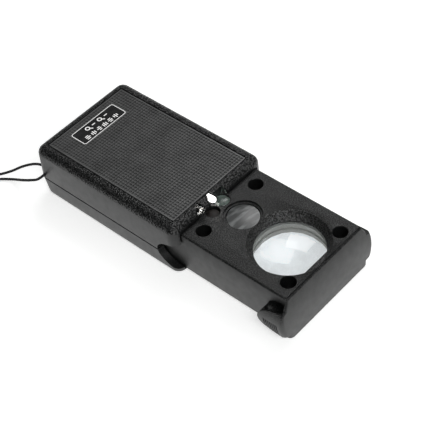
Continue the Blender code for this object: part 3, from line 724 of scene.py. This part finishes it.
def make_case_bottom():
    """The bottom shell: rounded below, its back leaning in, open at the front for the drawer."""
    counts = (40, 60)
    top = PARTING - GAP / 2

    def back(z):
        return CASE_LENGTH - BOTTOM_LEAN * (1 - z / top)

    levels = [(inset, BOTTOM_EDGE - rise) for inset, rise in quarter(BOTTOM_EDGE, 8)][::-1]
    levels += [(0, z) for z in (BOTTOM_EDGE, 3.0, 5.0, top - 0.12)]
    levels.append((0.12, top))
    shell = skin("case_bottom", [case_loop(inset, z, back(z), counts) for inset, z in levels])
    bay = box("bay", (-BAY_HALF_WIDTH, -1, FLOOR_TOP), (BAY_HALF_WIDTH, BAY_END, 8))
    cut(shell, bay, grip_cutter())
    floor_low = (-REAR_FLOOR_HALF_WIDTH, REAR_FLOOR_FRONT, FLOOR_ROOT)
    floor = box("rear_floor", floor_low, (REAR_FLOOR_HALF_WIDTH, BAY_END + 0.3, REAR_FLOOR))
    join(shell, floor)
    for side in SIDES:
        low, high = span(side, *STOP_RIB_X)
        rib = box(f"stop_rib_x{side}", (low, STOP_RIB_Y[0], FLOOR_ROOT), (high, STOP_RIB_Y[1], STOP_RIB_TOP))
        join(shell, rib)
    door_low, door_high = DOOR_X
    opening_low = (door_low - GAP, DOOR_FRONT - GAP, -1)
    opening = box("opening", opening_low, (door_high + GAP, CASE_LENGTH + 1, REAR_FLOOR + 0.1))
    rails = box("rails", (door_low - 1.1, DOOR_FRONT, 0.35), (door_high + 1.1, CASE_LENGTH + 1, 1.35))
    knob_front, knob_back = KNOB_Y
    recess_low = (KNOB_X - 3.6, knob_front - 0.5, -1)
    recess = box("recess", recess_low, (KNOB_X + 3.6, knob_back + SELECTOR_TRAVEL + 0.5, 0.9), 0.8)
    slot_low = (KNOB_X - 0.9, knob_front + 0.5, 0.5)
    slot = box("slot", slot_low, (KNOB_X + 0.9, knob_back + SELECTOR_TRAVEL - 0.5, REAR_FLOOR + 1))
    cut(shell, opening, rails, recess, slot)
    for number, y in enumerate(CASE_SCREW_Y, 1):
        sink = rod(f"sink_{number}", (CASE_SCREW_X, y, 0.2), 1.6, 2.6)
        bore = rod(f"bore_{number}", (CASE_SCREW_X, y, 1.5), 1.0, 4.0)
        cut(shell, sink, bore)
    dress(settle(shell), "case_side", "case", "bottom_shell")


def make_panel():
    """The roof's panel: a field of square pits with softened ribs between them. The pits' walls and floors
    are painted near black, as shade.
    """
    edge_x = PANEL_HALF_WIDTH - PANEL_GROOVE
    edge_y = (PANEL_Y[0] + PANEL_GROOVE, PANEL_Y[1] - PANEL_GROOVE)
    columns = [(column - PIT_COLUMNS / 2) * PIT_PITCH[0] for column in range(PIT_COLUMNS + 1)]
    columns = [-edge_x, *columns, edge_x]
    rows = [edge_y[0], *(PIT_FRONT + row * PIT_PITCH[1] for row in range(PIT_ROWS + 1)), edge_y[1]]
    shape = bmesh.new()
    grid = [[shape.verts.new((x, y, PANEL_TOP)) for y in rows] for x in columns]
    middle = PIT_COLUMNS // 2
    for column in range(len(columns) - 1):
        for row in range(len(rows) - 1):
            corners = [grid[column][row], grid[column + 1][row]]
            corners += [grid[column + 1][row + 1], grid[column][row + 1]]
            inner = 0 < column <= PIT_COLUMNS and 0 < row <= PIT_ROWS
            under_label = abs(column - 0.5 - middle) < LABEL_CELLS_X
            under_label = under_label and LABEL_ROWS[0] < row <= LABEL_ROWS[1]
            if inner and not under_label:
                sink_pit(shape, corners)
            else:
                shape.faces.new(corners)
    outline = [e for e in shape.edges if e.is_boundary]
    skirt = bmesh.ops.extrude_edge_only(shape, edges=outline)
    low = [v for v in skirt["geom"] if isinstance(v, bmesh.types.BMVert)]
    bmesh.ops.translate(shape, vec=(0, 0, PANEL_UNDERSIDE - PANEL_TOP), verts=low)
    bmesh.ops.recalc_face_normals(shape, faces=shape.faces)
    panel = dress(add_mesh("panel", shape), "panel", "case", angle=50.0)
    panel.data.materials.append(MATERIALS["pit"])


def sink_pit(shape, corners):
    """One cell: a flat rib, a soft shoulder, and a steep wall and floor painted near black without shine, as
    shade.
    """
    centre = sum((v.co for v in corners), Vector()) / 4
    ring = corners
    for width, drop in PIT_RINGS:
        following = []
        for corner in corners:
            side_x = math.copysign(1, corner.co.x - centre.x)
            side_y = math.copysign(1, corner.co.y - centre.y)
            spot = (centre.x + side_x * width, centre.y + side_y * width, PANEL_TOP - drop)
            following.append(shape.verts.new(spot))
        for wall in bridge(shape, ring, following):
            wall.material_index = int(drop == PIT_DEPTH)
        ring = following
    shape.faces.new(ring).material_index = 1


def make_label():
    """A plain black plate with a white outline and generic marks. The marks glow a little, as painted light.
    """
    z = PANEL_TOP + 0.02
    low = (-LABEL_HALF_WIDTH, LABEL_Y[0], PANEL_BED)
    plate = box("label", low, (LABEL_HALF_WIDTH, LABEL_Y[1], z), 0.9)
    dress(plate, "label", "case", "label_plate")
    marks = bmesh.new()
    flat_ring(marks, LABEL_HALF_WIDTH - 0.05, (LABEL_Y[0] + 0.05, LABEL_Y[1] - 0.05), 0.85, 0.22, z)
    first_row = LABEL_Y[0] + 1.75
    for number in range(6):
        generic_mark(marks, -6.1 + 2.4 * number, first_row, z, number)
    second_row = LABEL_Y[1] - 2.0
    for x in (-3.6, 1.6):
        lens_sign(marks, x, second_row, z)
    dress(add_mesh("label_marks", marks), "print", "case")


def flat_ring(shape, half_width, y, corner, width, z):
    """A flat outline of a rounded rectangle."""
    rings = []
    for inset in (0.0, width):
        inner_x = half_width - inset
        inner_y = (y[0] + inset, y[1] - inset)
        loop = rounded_loop((-inner_x, inner_x), inner_y, (corner - inset,) * 4, z + MARK_LIFT, (2, 2))
        rings.append([shape.verts.new(point) for point in loop])
    bridge(shape, *rings)


def flat_bar(shape, x, y, width, depth, z, turn=0.0):
    """A flat bar about a middle, turned in plan."""
    corners = []
    for side_x, side_y in ((-1, -1), (1, -1), (1, 1), (-1, 1)):
        offset = Matrix.Rotation(turn, 2) @ Vector((side_x * width / 2, side_y * depth / 2))
        corners.append(shape.verts.new((x + offset.x, y + offset.y, z + MARK_LIFT)))
    shape.faces.new(corners)


def generic_mark(shape, x, y, z, number):
    """A small abstract mark: three short bars, stacked differently each time."""
    turn = math.pi / 2 * (number % 2)
    flat_bar(shape, x, y, 1.7, 0.36, z, turn)
    for offset in (-0.65, 0.65):
        direction = Matrix.Rotation(turn, 2) @ Vector((0.15 * (number % 3 - 1), offset))
        flat_bar(shape, x + direction.x, y + direction.y, 1.3 - 0.15 * (number % 3), 0.33, z, turn)


def lens_sign(shape, x, y, z):
    """A round lens with a handle, and a short bar beside it."""
    rings = []
    for radius in (0.85, 0.5):
        rings.append([shape.verts.new((x + u, y + v, z + MARK_LIFT)) for u, v in circle(radius, 24)])
    bridge(shape, *rings)
    flat_bar(shape, x + 0.95, y - 0.95, 0.9, 0.36, z, -math.pi / 4)
    flat_bar(shape, x + 2.6, y, 1.3, 0.36, z)


# ------ lamps


def nose(radius, low, rise):
    """A quarter ellipse, from the top of a round nose down to its side."""
    angles = [math.pi / 2 * step / 10 for step in range(11)]
    return [(radius * math.sin(angle), low + rise * math.cos(angle)) for angle in angles]


def make_lamp(name, x, nose_y, core):
    """A lamp's resin body, and the cup inside it that shines or reflects."""
    radius, flange = LAMP_RADIUS - 0.02, LAMP_RADIUS + 0.1
    outline = nose(radius, LAMP_BACK - nose_y - radius, radius)
    outline += [(radius, 0.35), (flange, 0.33), (flange, 0.0), (0, 0.0)]
    lamp = turned(name, [(r, -h) for r, h in outline], (x, LAMP_BACK, LAMP_HEIGHT), "Y", 48)
    dress(lamp, "lamp_resin", "case", name.replace("_body", ""))
    cup_profile = [(0, -1.35), (0.32, -1.3), (0.55, -1.75), (0.62, -1.7), (0.5, -0.3), (0, -0.3)]
    cup = turned(name + "_cup", cup_profile, (x, LAMP_BACK, LAMP_HEIGHT), "Y", 32)
    dress(cup, core, "case")


# ------ drawer


def wall_front(z):
    """How far forward the drawer's end wall is at a height: upright below, rolling back to the top."""
    rise = max(z - END_UPRIGHT, 0.0) / (TRAY_TOP - END_UPRIGHT)
    return END_FOOT + (TRAY_FRONT_TOP - END_FOOT) * rise**1.6


def tray_blank():
    """The drawer's solid behind its end cap, with rounded top edges."""
    counts = (30, 40)
    loops = []
    soft = 0.6
    levels = [(0.1, TRAY_BOTTOM), (0.0, TRAY_BOTTOM + 0.1), (0.0, 6.0), (0.0, 11.0), (0.0, TRAY_TOP - soft)]
    levels += [(inset, TRAY_TOP - soft + rise) for inset, rise in quarter(soft, 5)]
    for inset, z in levels:
        x = (inset - TRAY_HALF_WIDTH, TRAY_HALF_WIDTH - inset)
        radii = (TRAY_CORNER - inset, TRAY_CORNER - inset, 0.05, 0.05)
        front = max(wall_front(z), TRAY_FRONT_TOP - 0.2) + inset
        loops.append(rounded_loop(x, (front, TRAY_REAR), radii, z, counts, 10))
    return skin("tray", loops)


def ear_reach(z):
    """How far out the ears are at a height: their outer faces bulge a little."""
    return EAR_OUTSIDE - EAR_BULGE + math.sqrt(EAR_BULGE**2 - (z - GRIP_HEIGHT) ** 2)


def end_cap():
    """The front of the drawer: one smooth wall that runs out over the front of both ears."""
    low, high = GRIP_HEIGHT - EAR_HALF_HEIGHT, GRIP_HEIGHT + EAR_HALF_HEIGHT
    levels = [pair for pair in CAP_HALF_WIDTHS if pair[0] < low]
    levels += [(low, ear_reach(low) - 0.35), (low + 0.12, ear_reach(low) - 0.08)]
    levels += [(z, ear_reach(z)) for z in np.linspace(low + 0.4, high - 0.3, 24)]
    levels += [(high - 0.08, ear_reach(high) - 0.06), (high, ear_reach(high) - 0.3)]
    levels += [pair for pair in CAP_HALF_WIDTHS if pair[0] > high]
    loops = []
    for z, half_width in levels:
        y = (wall_front(z), CAP_REAR)
        corner = min(CAP_CORNER, 0.9 * (y[1] - y[0]))
        radii = (corner, corner, 0.02, 0.02)
        loops.append(rounded_loop((-half_width, half_width), y, radii, z, (60, 2), 10))
    return skin("end_cap", loops)


def make_tray():
    """The drawer's body: a hollow plate with its end cap, arms, ears, bosses, seats, wells and ports."""
    tray = tray_blank()
    underside = TRAY_TOP - TRAY_PLATE
    inside = TRAY_HALF_WIDTH - TRAY_WALL
    cut(tray, box("hollow", (-inside, END_WALL_INSIDE, -1), (inside, TRAY_REAR + 1, underside)))
    join(tray, end_cap())
    for side in SIDES:
        add_arm(tray, side)
        add_ear(tray, side)
    join(tray, rod("lens_ring", (0, BIG_LENS_Y, 13.8), 12.7, 1.8, segments=96))
    for number, (x, y) in enumerate(well_places(), 1):
        high = underside + 0.4
        middle = (x, y, (BOSS_BOTTOM + high) / 2)
        boss = rod(f"boss_{number}", middle, BOSS_RADIUS, high - BOSS_BOTTOM)
        join(tray, boss)
    cut(tray, *lens_seats())
    join(tray, end_rib())
    for number, (x, y) in enumerate(well_places(), 1):
        soft = [(0, 17), (2.7, 17), (2.45, 15.95), (2.3, 15.8), (WELL_RADIUS, 15.6)]
        well = turned(f"well_{number}", [*soft, (WELL_RADIUS, WELL_BOTTOM), (0, WELL_BOTTOM)], (x, y, 0))
        way = rod(f"way_{number}", (x, y, 7.0), SCREW_WAY_RADIUS, 4.0)
        cut(tray, well, way)
    for name, (x, y, radius) in (("white_way", WHITE_PORT), ("uv_way", UV_PORT)):
        low = underside - 1
        soft = [(0, 17), (radius + 0.4, 17), (radius + 0.15, 15.95), (radius, 15.7)]
        cut(tray, turned(name, [*soft, (radius, low), (0, low)], (x, y, 0)))
    cut(tray, box("ridge_groove", (-16.3, -39.1, TRAY_TOP - 0.3), (16.3, -38.75, TRAY_TOP + 1)))
    dress(settle(tray), "drawer", "drawer", "tray_body")
    grain_seat(tray)


def grain_seat(tray):
    """Gives the steep wall round the big lens its coarser grain."""
    tray.data.materials.append(MATERIALS["seat"])
    middle = place(0, BIG_LENS_Y, 0)
    for face in tray.data.polygons:
        reach = math.dist(face.center[:2], middle[:2]) / MM
        steep = 0.2 < face.normal.z < 0.9
        if steep and reach < BIG_RIM + 0.6 and face.center.z / MM > BIG_SEAT_HEIGHT:
            face.material_index = 1


def add_arm(tray, side):
    """A guide arm that stays in the case, with a lug that meets the case's stop rib."""
    low, high = span(side, TRAY_HALF_WIDTH - TRAY_WALL, TRAY_HALF_WIDTH)
    arm = box(f"arm_x{side}", (low, TRAY_REAR - 0.5, TRAY_BOTTOM), (high, ARM_REAR, ARM_TOP))
    low, high = span(side, STOP_LUG_INSIDE, TRAY_HALF_WIDTH - TRAY_WALL + 0.2)
    lug = box(f"lug_x{side}", (low, STOP_LUG_FRONT, TRAY_BOTTOM), (high, ARM_REAR, STOP_LUG_TOP))
    join(tray, arm, lug)


def add_ear(tray, side):
    """A ribbed ear behind the end cap, with a scoop over it for a fingernail."""
    low, high = span(side, TRAY_HALF_WIDTH - 1.0, EAR_OUTSIDE + 1)
    stretch = (1.0, EAR_LENGTH, EAR_HALF_HEIGHT)
    middle = ((low + high) / 2, -TRAVEL, GRIP_HEIGHT)
    ear = rod(f"ear_x{side}", middle, 1.0, high - low, "X", 128, stretch)
    loops = []
    for z in np.linspace(0.0, 2 * GRIP_HEIGHT, 60):
        x = span(side, TRAY_HALF_WIDTH - 2, ear_reach(z) - 0.01)
        loops.append(rounded_loop(x, (CAP_REAR - 0.3, EAR_LENGTH - TRAVEL + 1), (0.05,) * 4, z, (2, 2), 2))
    combine(ear, "INTERSECT", [skin(f"reach_x{side}", loops)])
    for number in range(EAR_RIBS):
        cut(ear, ear_groove(side, number))
    settle(ear)
    scoop = ball(f"scoop_x{side}", (side * SCOOP[0], *SCOOP[1:]), SCOOP_RADII, SCOOP_TILT)
    join(tray, ear)
    cut(tray, scoop)


def ear_groove(side, number):
    """A thin slanted cutter that bites into the lower part of an ear and fades out above."""
    y = EAR_RIB_FRONT + EAR_RIB_PITCH * number
    shape = bmesh.new()
    bmesh.ops.create_cube(shape, size=1.0)
    for corner in shape.verts:
        upper, outer, front = (part > 0 for part in (corner.co.z, corner.co.x, corner.co.y))
        inner_x = EAR_OUTSIDE + 0.1 if upper else EAR_OUTSIDE - EAR_RIB_BITE
        corner.co.x = side * (EAR_OUTSIDE + 2 if outer else inner_x)
        corner.co.y = y + (0.3 if upper else -0.3) + (0.2 if front else -0.2)
        corner.co.z = EAR_RIB_HEIGHTS[int(upper)]
    if side < 0:
        bmesh.ops.reverse_faces(shape, faces=shape.faces)
    return add_mesh("groove", shape)


def well_places():
    return [(side * WELL_X, y) for y in WELL_Y for side in SIDES]


def lens_seats():
    """The big lens's steep countersink, the small lens's stepped hole, and room for its rim."""
    big = [
        (0, 17), (BIG_RIM + 0.7, 17), (BIG_RIM + 0.45, 15.95), (BIG_RIM + 0.1, 15.75), (BIG_RIM - 0.1, 15.4),
        (BIG_APERTURE + 0.2, 13.3), (BIG_APERTURE, 13.1), (BIG_APERTURE, 12), (0, 12),
    ]
    small = [
        (0, 17), (SMALL_RIM + 0.3, 17), (SMALL_RIM + 0.1, 15.92), (SMALL_RIM, 15.75), (SMALL_RIM, 15.35),
        (SMALL_APERTURE + 0.1, 15.3), (SMALL_APERTURE, 15.2), (SMALL_APERTURE, 13), (0, 13),
    ]
    room = rod("small_room", (0, SMALL_LENS_Y, 12.5), SMALL_LENS_RADIUS + 0.15, 3.0, segments=96)
    return (
        turned("big_seat", big, (0, BIG_LENS_Y, 0), steps=128),
        turned("small_seat", small, (0, SMALL_LENS_Y, 0), steps=96),
        room,
    )


def end_rib():
    """The straight rib that lies low across the front of the big lens's opening."""
    low = (-5.6, -37.9, BIG_SEAT_HEIGHT - 0.6)
    return box("end_rib", low, (5.6, RIB_EDGE, BIG_SEAT_HEIGHT + 0.7), 0.45, 0)


def lens_dome(radius, curvature, edge):
    """The domed top of a lens, from its middle out to an edge height."""
    sag = curvature - math.sqrt(curvature**2 - radius**2)
    dome = []
    for step in range(25):
        r = (radius - 0.1) * step / 24
        drop = curvature - math.sqrt(curvature**2 - r**2)
        dome.append((r, edge + sag - drop))
    return dome


def lens_rim(radius, top):
    """The upright edge and flat underside of a lens, with a small bevel between them."""
    return [(radius, top), (radius, 0.1), (radius - 0.1, 0.0), (0, 0.0)]


def make_lenses():
    """A domed big lens, and a small one whose dome stands up through its seat above a wider rim."""
    dome = lens_dome(BIG_LENS_RADIUS, BIG_LENS_CURVE, BIG_LENS_EDGE)
    outline = [*dome, *lens_rim(BIG_LENS_RADIUS, BIG_LENS_EDGE - 0.1)]
    big = turned("big_lens_glass", outline, (0, BIG_LENS_Y, BIG_LENS_LOW), steps=128)
    dress(big, "lens", "drawer", "big_lens")
    neck = SMALL_APERTURE - 0.05
    dome = lens_dome(neck, SMALL_LENS_CURVE, SMALL_LENS_EDGE)
    outline = [*dome, (neck, SMALL_LENS_STEP + 0.1), *lens_rim(SMALL_LENS_RADIUS, SMALL_LENS_STEP)]
    small = turned("small_lens_glass", outline, (0, SMALL_LENS_Y, SMALL_LENS_LOW), steps=96)
    dress(small, "small_lens", "drawer", "small_lens")


def make_windows():
    """The white port's domed window, over a bright bed."""
    x, y, radius = WHITE_PORT
    r = radius - 0.05
    profile = [*nose(r, DOME_LOW, DOME_RISE), (r, 14.4), (0, 14.4)]
    dome = turned("port_dome", profile, (x, y, 0), steps=64)
    dress(dome, "port_resin", "drawer", "light_window")
    bed = rod("port_bed", (x, y, 14.2), radius - 0.2, 0.15)
    dress(bed, "port_bed", "drawer")


def cut_cross(screw, x, y, length, width, low, high):
    """A cross recess in a screw's head, between two heights."""
    for size_x, size_y in ((length, width), (width, length)):
        near = (x - size_x / 2, y - size_y / 2, low)
        far = (x + size_x / 2, y + size_y / 2, high)
        cut(screw, box("cross", near, far))


def make_tray_screws():
    """Domed heads with a cross recess, deep in the wells."""
    head = [(0, 9.9), (0.7, 9.84), (1.3, 9.6), (1.7, 9.2), (1.85, 8.8), (1.85, 8.35)]
    profile = [*head, (1.0, 8.35), (1.0, 4.45), (0, 4.45)]
    for number, (x, y) in enumerate(well_places(), 1):
        screw = turned(f"well_screw_{number}", profile, (x, y, 0))
        cut_cross(screw, x, y, 1.7, 0.32, 9.2, 11)
        dress(settle(screw), "steel", "drawer", f"tray_screw_{number}")


def make_case_screws():
    """Pan heads with a cross recess, sunk in the underside."""
    head = [(0, 0.25), (0.9, 0.27), (1.2, 0.4), (1.3, 0.6), (1.3, 1.4)]
    profile = [*head, (0.7, 1.4), (0.7, 7.0), (0, 7.0)][::-1]
    for number, y in enumerate(CASE_SCREW_Y, 1):
        screw = turned(f"shell_screw_{number}", profile, (CASE_SCREW_X, y, 0))
        cut_cross(screw, CASE_SCREW_X, y, 1.5, 0.3, -1, 0.8)
        dress(settle(screw), "steel", "case", f"case_screw_{number}")


# ------ wrist strap


def smooth_path(points, spacing):
    """A smooth curve through route points, read at about even steps."""
    route = np.array(points, float)
    ends = np.vstack((2 * route[0] - route[1], route, 2 * route[-1] - route[-2]))
    path = []
    for before, start, stop, after in zip(ends, ends[1:], ends[2:], ends[3:]):
        count = max(1, round(float(np.linalg.norm(stop - start)) / spacing))
        for step in range(count):
            t = step / count
            bend = (2 * before - 5 * start + 4 * stop - after) * t * t
            turn = (3 * start - before - 3 * stop + after) * t**3
            path.append(0.5 * (2 * start + (stop - before) * t + bend + turn))
    path.append(route[-1])
    return np.array(path)


def ease(value, start, stop):
    """0 before start, 1 after stop, smooth between."""
    t = min(max((value - start) / (stop - start), 0.0), 1.0)
    return t * t * (3 - 2 * t)


def coil_route():
    """Inwards on the floor, up a layer, and outwards again, so the strand leaves at the outside."""
    knot = Vector(KNOT[:2]) - Vector(COIL)
    facing = math.atan2(knot.y, knot.x)
    tangent = math.acos(COIL_RADII[-1] / knot.length)
    start = facing + tangent
    turns = 7 - 2 * tangent / (2 * math.pi)
    steps = 16
    route = []
    for step in range(int(turns * steps) + 1):
        turn = step / steps
        column = 3 - sum(ease(turn, k + 0.78, k + 0.97) for k in range(3))
        column += sum(ease(turn, k + 4.3, k + 4.5) for k in range(3))
        layer = ease(turn, 3.55, 3.8)
        radius = COIL_RADII[0] + COIL_PITCH * column
        angle = start + 2 * math.pi * turn
        x = COIL[0] + radius * math.cos(angle)
        y = COIL[1] + radius * math.sin(angle)
        route.append((x, y, COIL_LOW + COIL_PITCH * layer))
    return route


def strap_route():
    """From the hole in the side past the knot, round the coil, and back up into the rear hole."""
    side_strand = [
        (-21.9, 58.15, 7.4), (-23.0, 60.5, 6.5), (-23.0, 63.9, 4.4), (-22.9, 67.2, 2.45),
        (-23.1, 70.6, 0.8), (-24.7, 73.45, 0.5), (-26.2, 75.2, 0.55), (-27.5, 76.15, 0.68),
        (-27.75, 78.3, 0.65), (-27.2, 80.5, 0.57),
    ]
    rear_strand = [
        (-30.6, 78.0, 1.55), (-28.4, 77.6, 1.7), (-26.6, 76.8, 1.7), (-24.3, 74.6, 1.8), (-21.9, 72.0, 2.75),
        (-19.75, 68.8, 4.85), (-18.1, 65.3, 6.75), (-17.2, 62.3, 7.8),
    ]
    side_mouth = [tunnel_point(-58), tunnel_point(-90)]
    rear_mouth = [tunnel_point(0), tunnel_point(-28)]
    return side_mouth + side_strand + coil_route() + rear_strand + rear_mouth


def tunnel_point(degrees):
    """A point on the middle of the curved tunnel through the case's rear corner."""
    angle = math.radians(degrees)
    x = -CASE_HALF_WIDTH + STRAP_BEND * math.cos(angle)
    y = CASE_LENGTH + STRAP_BEND * math.sin(angle)
    return (x, y, STRAP_HOLE_HEIGHT)


def make_cord_mesh(name, path):
    """A twisted cord: three strands that wind round each other, as one lobed tube."""
    around = 15
    twist = 2 * math.pi / TWIST_PITCH
    tangents = np.gradient(path, axis=0)
    tangents /= np.linalg.norm(tangents, axis=1)[:, None]
    normal = np.cross(tangents[0], (0, 0, 1.0))
    loops = []
    travelled = 0.0
    for step, (spot, tangent) in enumerate(zip(path, tangents)):
        if step:
            travelled += float(np.linalg.norm(spot - path[step - 1]))
        normal = normal - tangent * np.dot(normal, tangent)
        normal /= np.linalg.norm(normal)
        side = np.cross(tangent, normal)
        loop = []
        for corner in range(around):
            angle = 2 * math.pi * corner / around
            lobe = 0.93 + 0.07 * math.cos(3 * (angle - twist * travelled))
            reach = CORD_DIAMETER / 2 * lobe
            loop.append(spot + reach * (math.cos(angle) * normal + math.sin(angle) * side))
        loops.append(loop)
    return skin(name, loops)


def make_strap():
    """The cord along its route, and its knot."""
    path = smooth_path(strap_route(), 0.3)
    cord = make_cord_mesh("wrist_cord", path)
    dress(cord, "cord", "case", "strap_cord", "strap_coil", angle=60.0)
    make_knot()


def make_knot():
    """A small knot: the cord wound a little over twice round both strands."""
    path = []
    for step in range(73):
        angle = 2 * math.pi * 2.3 * step / 72
        along = -0.75 + 1.5 * step / 72
        x = KNOT[0] + 0.8 * math.cos(angle) + 0.35 * along
        y = KNOT[1] + along
        z = 1.3 + 0.78 * math.sin(angle)
        path.append((x, y, z))
    knot = make_cord_mesh("knot", smooth_path(path, 0.2))
    return dress(knot, "cord", "case", "strap_knot", angle=60.0)


# ------ carried-over CAD nodes


CARRIED = {
    "inner": ("battery_holder", "switch_body", "small_lens_tube"),
    "spacer": ("big_lens_tube", "lens_carrier"),
    "case_side": ("battery_door",),
    "knob": ("selector_knob",),
    "filter": ("uv_filter",),
    "board": ("circuit_board",),
    "resistor": ("white_resistor", "uv_resistor"),
    "cell": ("button_cell_1", "button_cell_2", "button_cell_3"),
    "red_wire": ("battery_wire",),
    "black_wire": ("switch_wire",),
    "brass": ("auto_switch_leaf",),
    "steel": (
        "white_lamp_lead_a", "white_lamp_lead_b", "uv_lamp_lead_a", "uv_lamp_lead_b",
        "battery_spring", "battery_contact", "door_contact",
    ),
}


def paint_carried():
    """Gives the hidden CAD nodes, which are shown as they are, their materials."""
    for key, names in CARRIED.items():
        for name in names:
            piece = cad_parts[name]
            piece.data.materials.clear()
            piece.data.materials.append(MATERIALS[key])


def make_materials():
    """Every material by its key. All blacks differ a little, as separate mouldings do."""
    return {
        "case": plastic("case_grain", (0.006, 0.0065, 0.0065), 0.34, 0.45, 0.35, 0.5, 0.9, (1.7, 0.85)),
        "case_side": plastic("case_satin", (0.008, 0.0085, 0.0085), 0.4, 0.25, 0.02, 0.55, 0.3, (1.9, 0.9)),
        "panel": plastic("panel_ribs", (0.09, 0.091, 0.0905), 0.34, 0.3, 0.02),
        # The pits' walls and floors: near black and without shine, painted shade in the pits.
        "pit": plastic("panel_pits_painted_shade", (0.0005,) * 3, 0.9, 0.3, 0.0, 0.0),
        "drawer": plastic("drawer_satin", (0.005, 0.0055, 0.0054), 0.42, 0.3, 0.12, 0.4, 0.65, (2.5, 0.7)),
        "seat": plastic("seat_grain", (0.022, 0.0225, 0.022), 0.38, 0.45, 0.35, 0.8, 0.9),
        "inner": plastic("inner_matt", (0.01, 0.01, 0.0105), 0.6, 0.2, 0.03),
        "knob": plastic("knob_satin", (0.014, 0.0145, 0.0145), 0.4, 0.2, 0.02),
        "label": plastic("label_film", (0.008, 0.008, 0.0085), 0.22, 0.6, 0.004),
        # The label's print glows a little though it is no lamp: painted light that keeps it bright.
        "print": glow("label_print_painted_glow", (0.8, 0.8, 0.79), 0.45),
        "resistor": plastic("resistor", (0.02, 0.02, 0.022), 0.3, 0.2, 0.01),
        "filter": plastic("filter_glass", (0.005, 0.0035, 0.0033), 0.6, 0.8, 0.01, 0.15),
        "board": plastic("board", (0.02, 0.11, 0.05), 0.35, 0.5, 0.02),
        "red_wire": plastic("red_wire", (0.4, 0.015, 0.015), 0.35, 0.5, 0.01),
        "black_wire": plastic("black_wire", (0.012, 0.012, 0.013), 0.35, 0.5, 0.01),
        "cord": plastic("cord_weave", (0.008, 0.008, 0.009), 0.75, 0.12, 0.05),
        "steel": metal("steel", (0.62, 0.62, 0.6), 0.28),
        "cell": metal("cell", (0.68, 0.67, 0.63), 0.22),
        "brass": metal("brass", (0.72, 0.52, 0.22), 0.25),
        "lens": clear("lens", (0.83, 0.86, 0.88)),
        # The small lens is painted grey, as shade for the dark tube seen through it.
        "small_lens": painted_grey_glass("small_lens", (0.095, 0.1, 0.1)),
        "spacer": plastic("spacer_ring", (0.3, 0.29, 0.26), 0.4, 0.25, 0.03),
        "lamp_resin": clear("lamp_resin", (0.98, 0.98, 0.97), 0.02, 1.52),
        "port_resin": clear("port_resin", (0.82, 0.87, 0.85), 0.03, 1.5),
        "port_bed": metal("port_bed", (0.5, 0.56, 0.53), 0.4),
        "lamp_lit": glow("lamp_lit", (1.0, 0.98, 0.96), 6.0),
        "lamp_dark": metal("lamp_dark", (0.93, 0.91, 0.88), 0.14),
    }


make_camera()
MATERIALS = make_materials()
make_strap()
make_floor()
make_lights()
make_case_top()
make_case_bottom()
make_panel()
make_label()
make_lamp("white_lamp_body", WHITE_LAMP_X, -0.45, "lamp_lit")
make_lamp("uv_lamp_body", UV_LAMP_X, -0.9, "lamp_dark")
make_tray()
make_lenses()
make_windows()
make_tray_screws()
make_case_screws()
paint_carried()
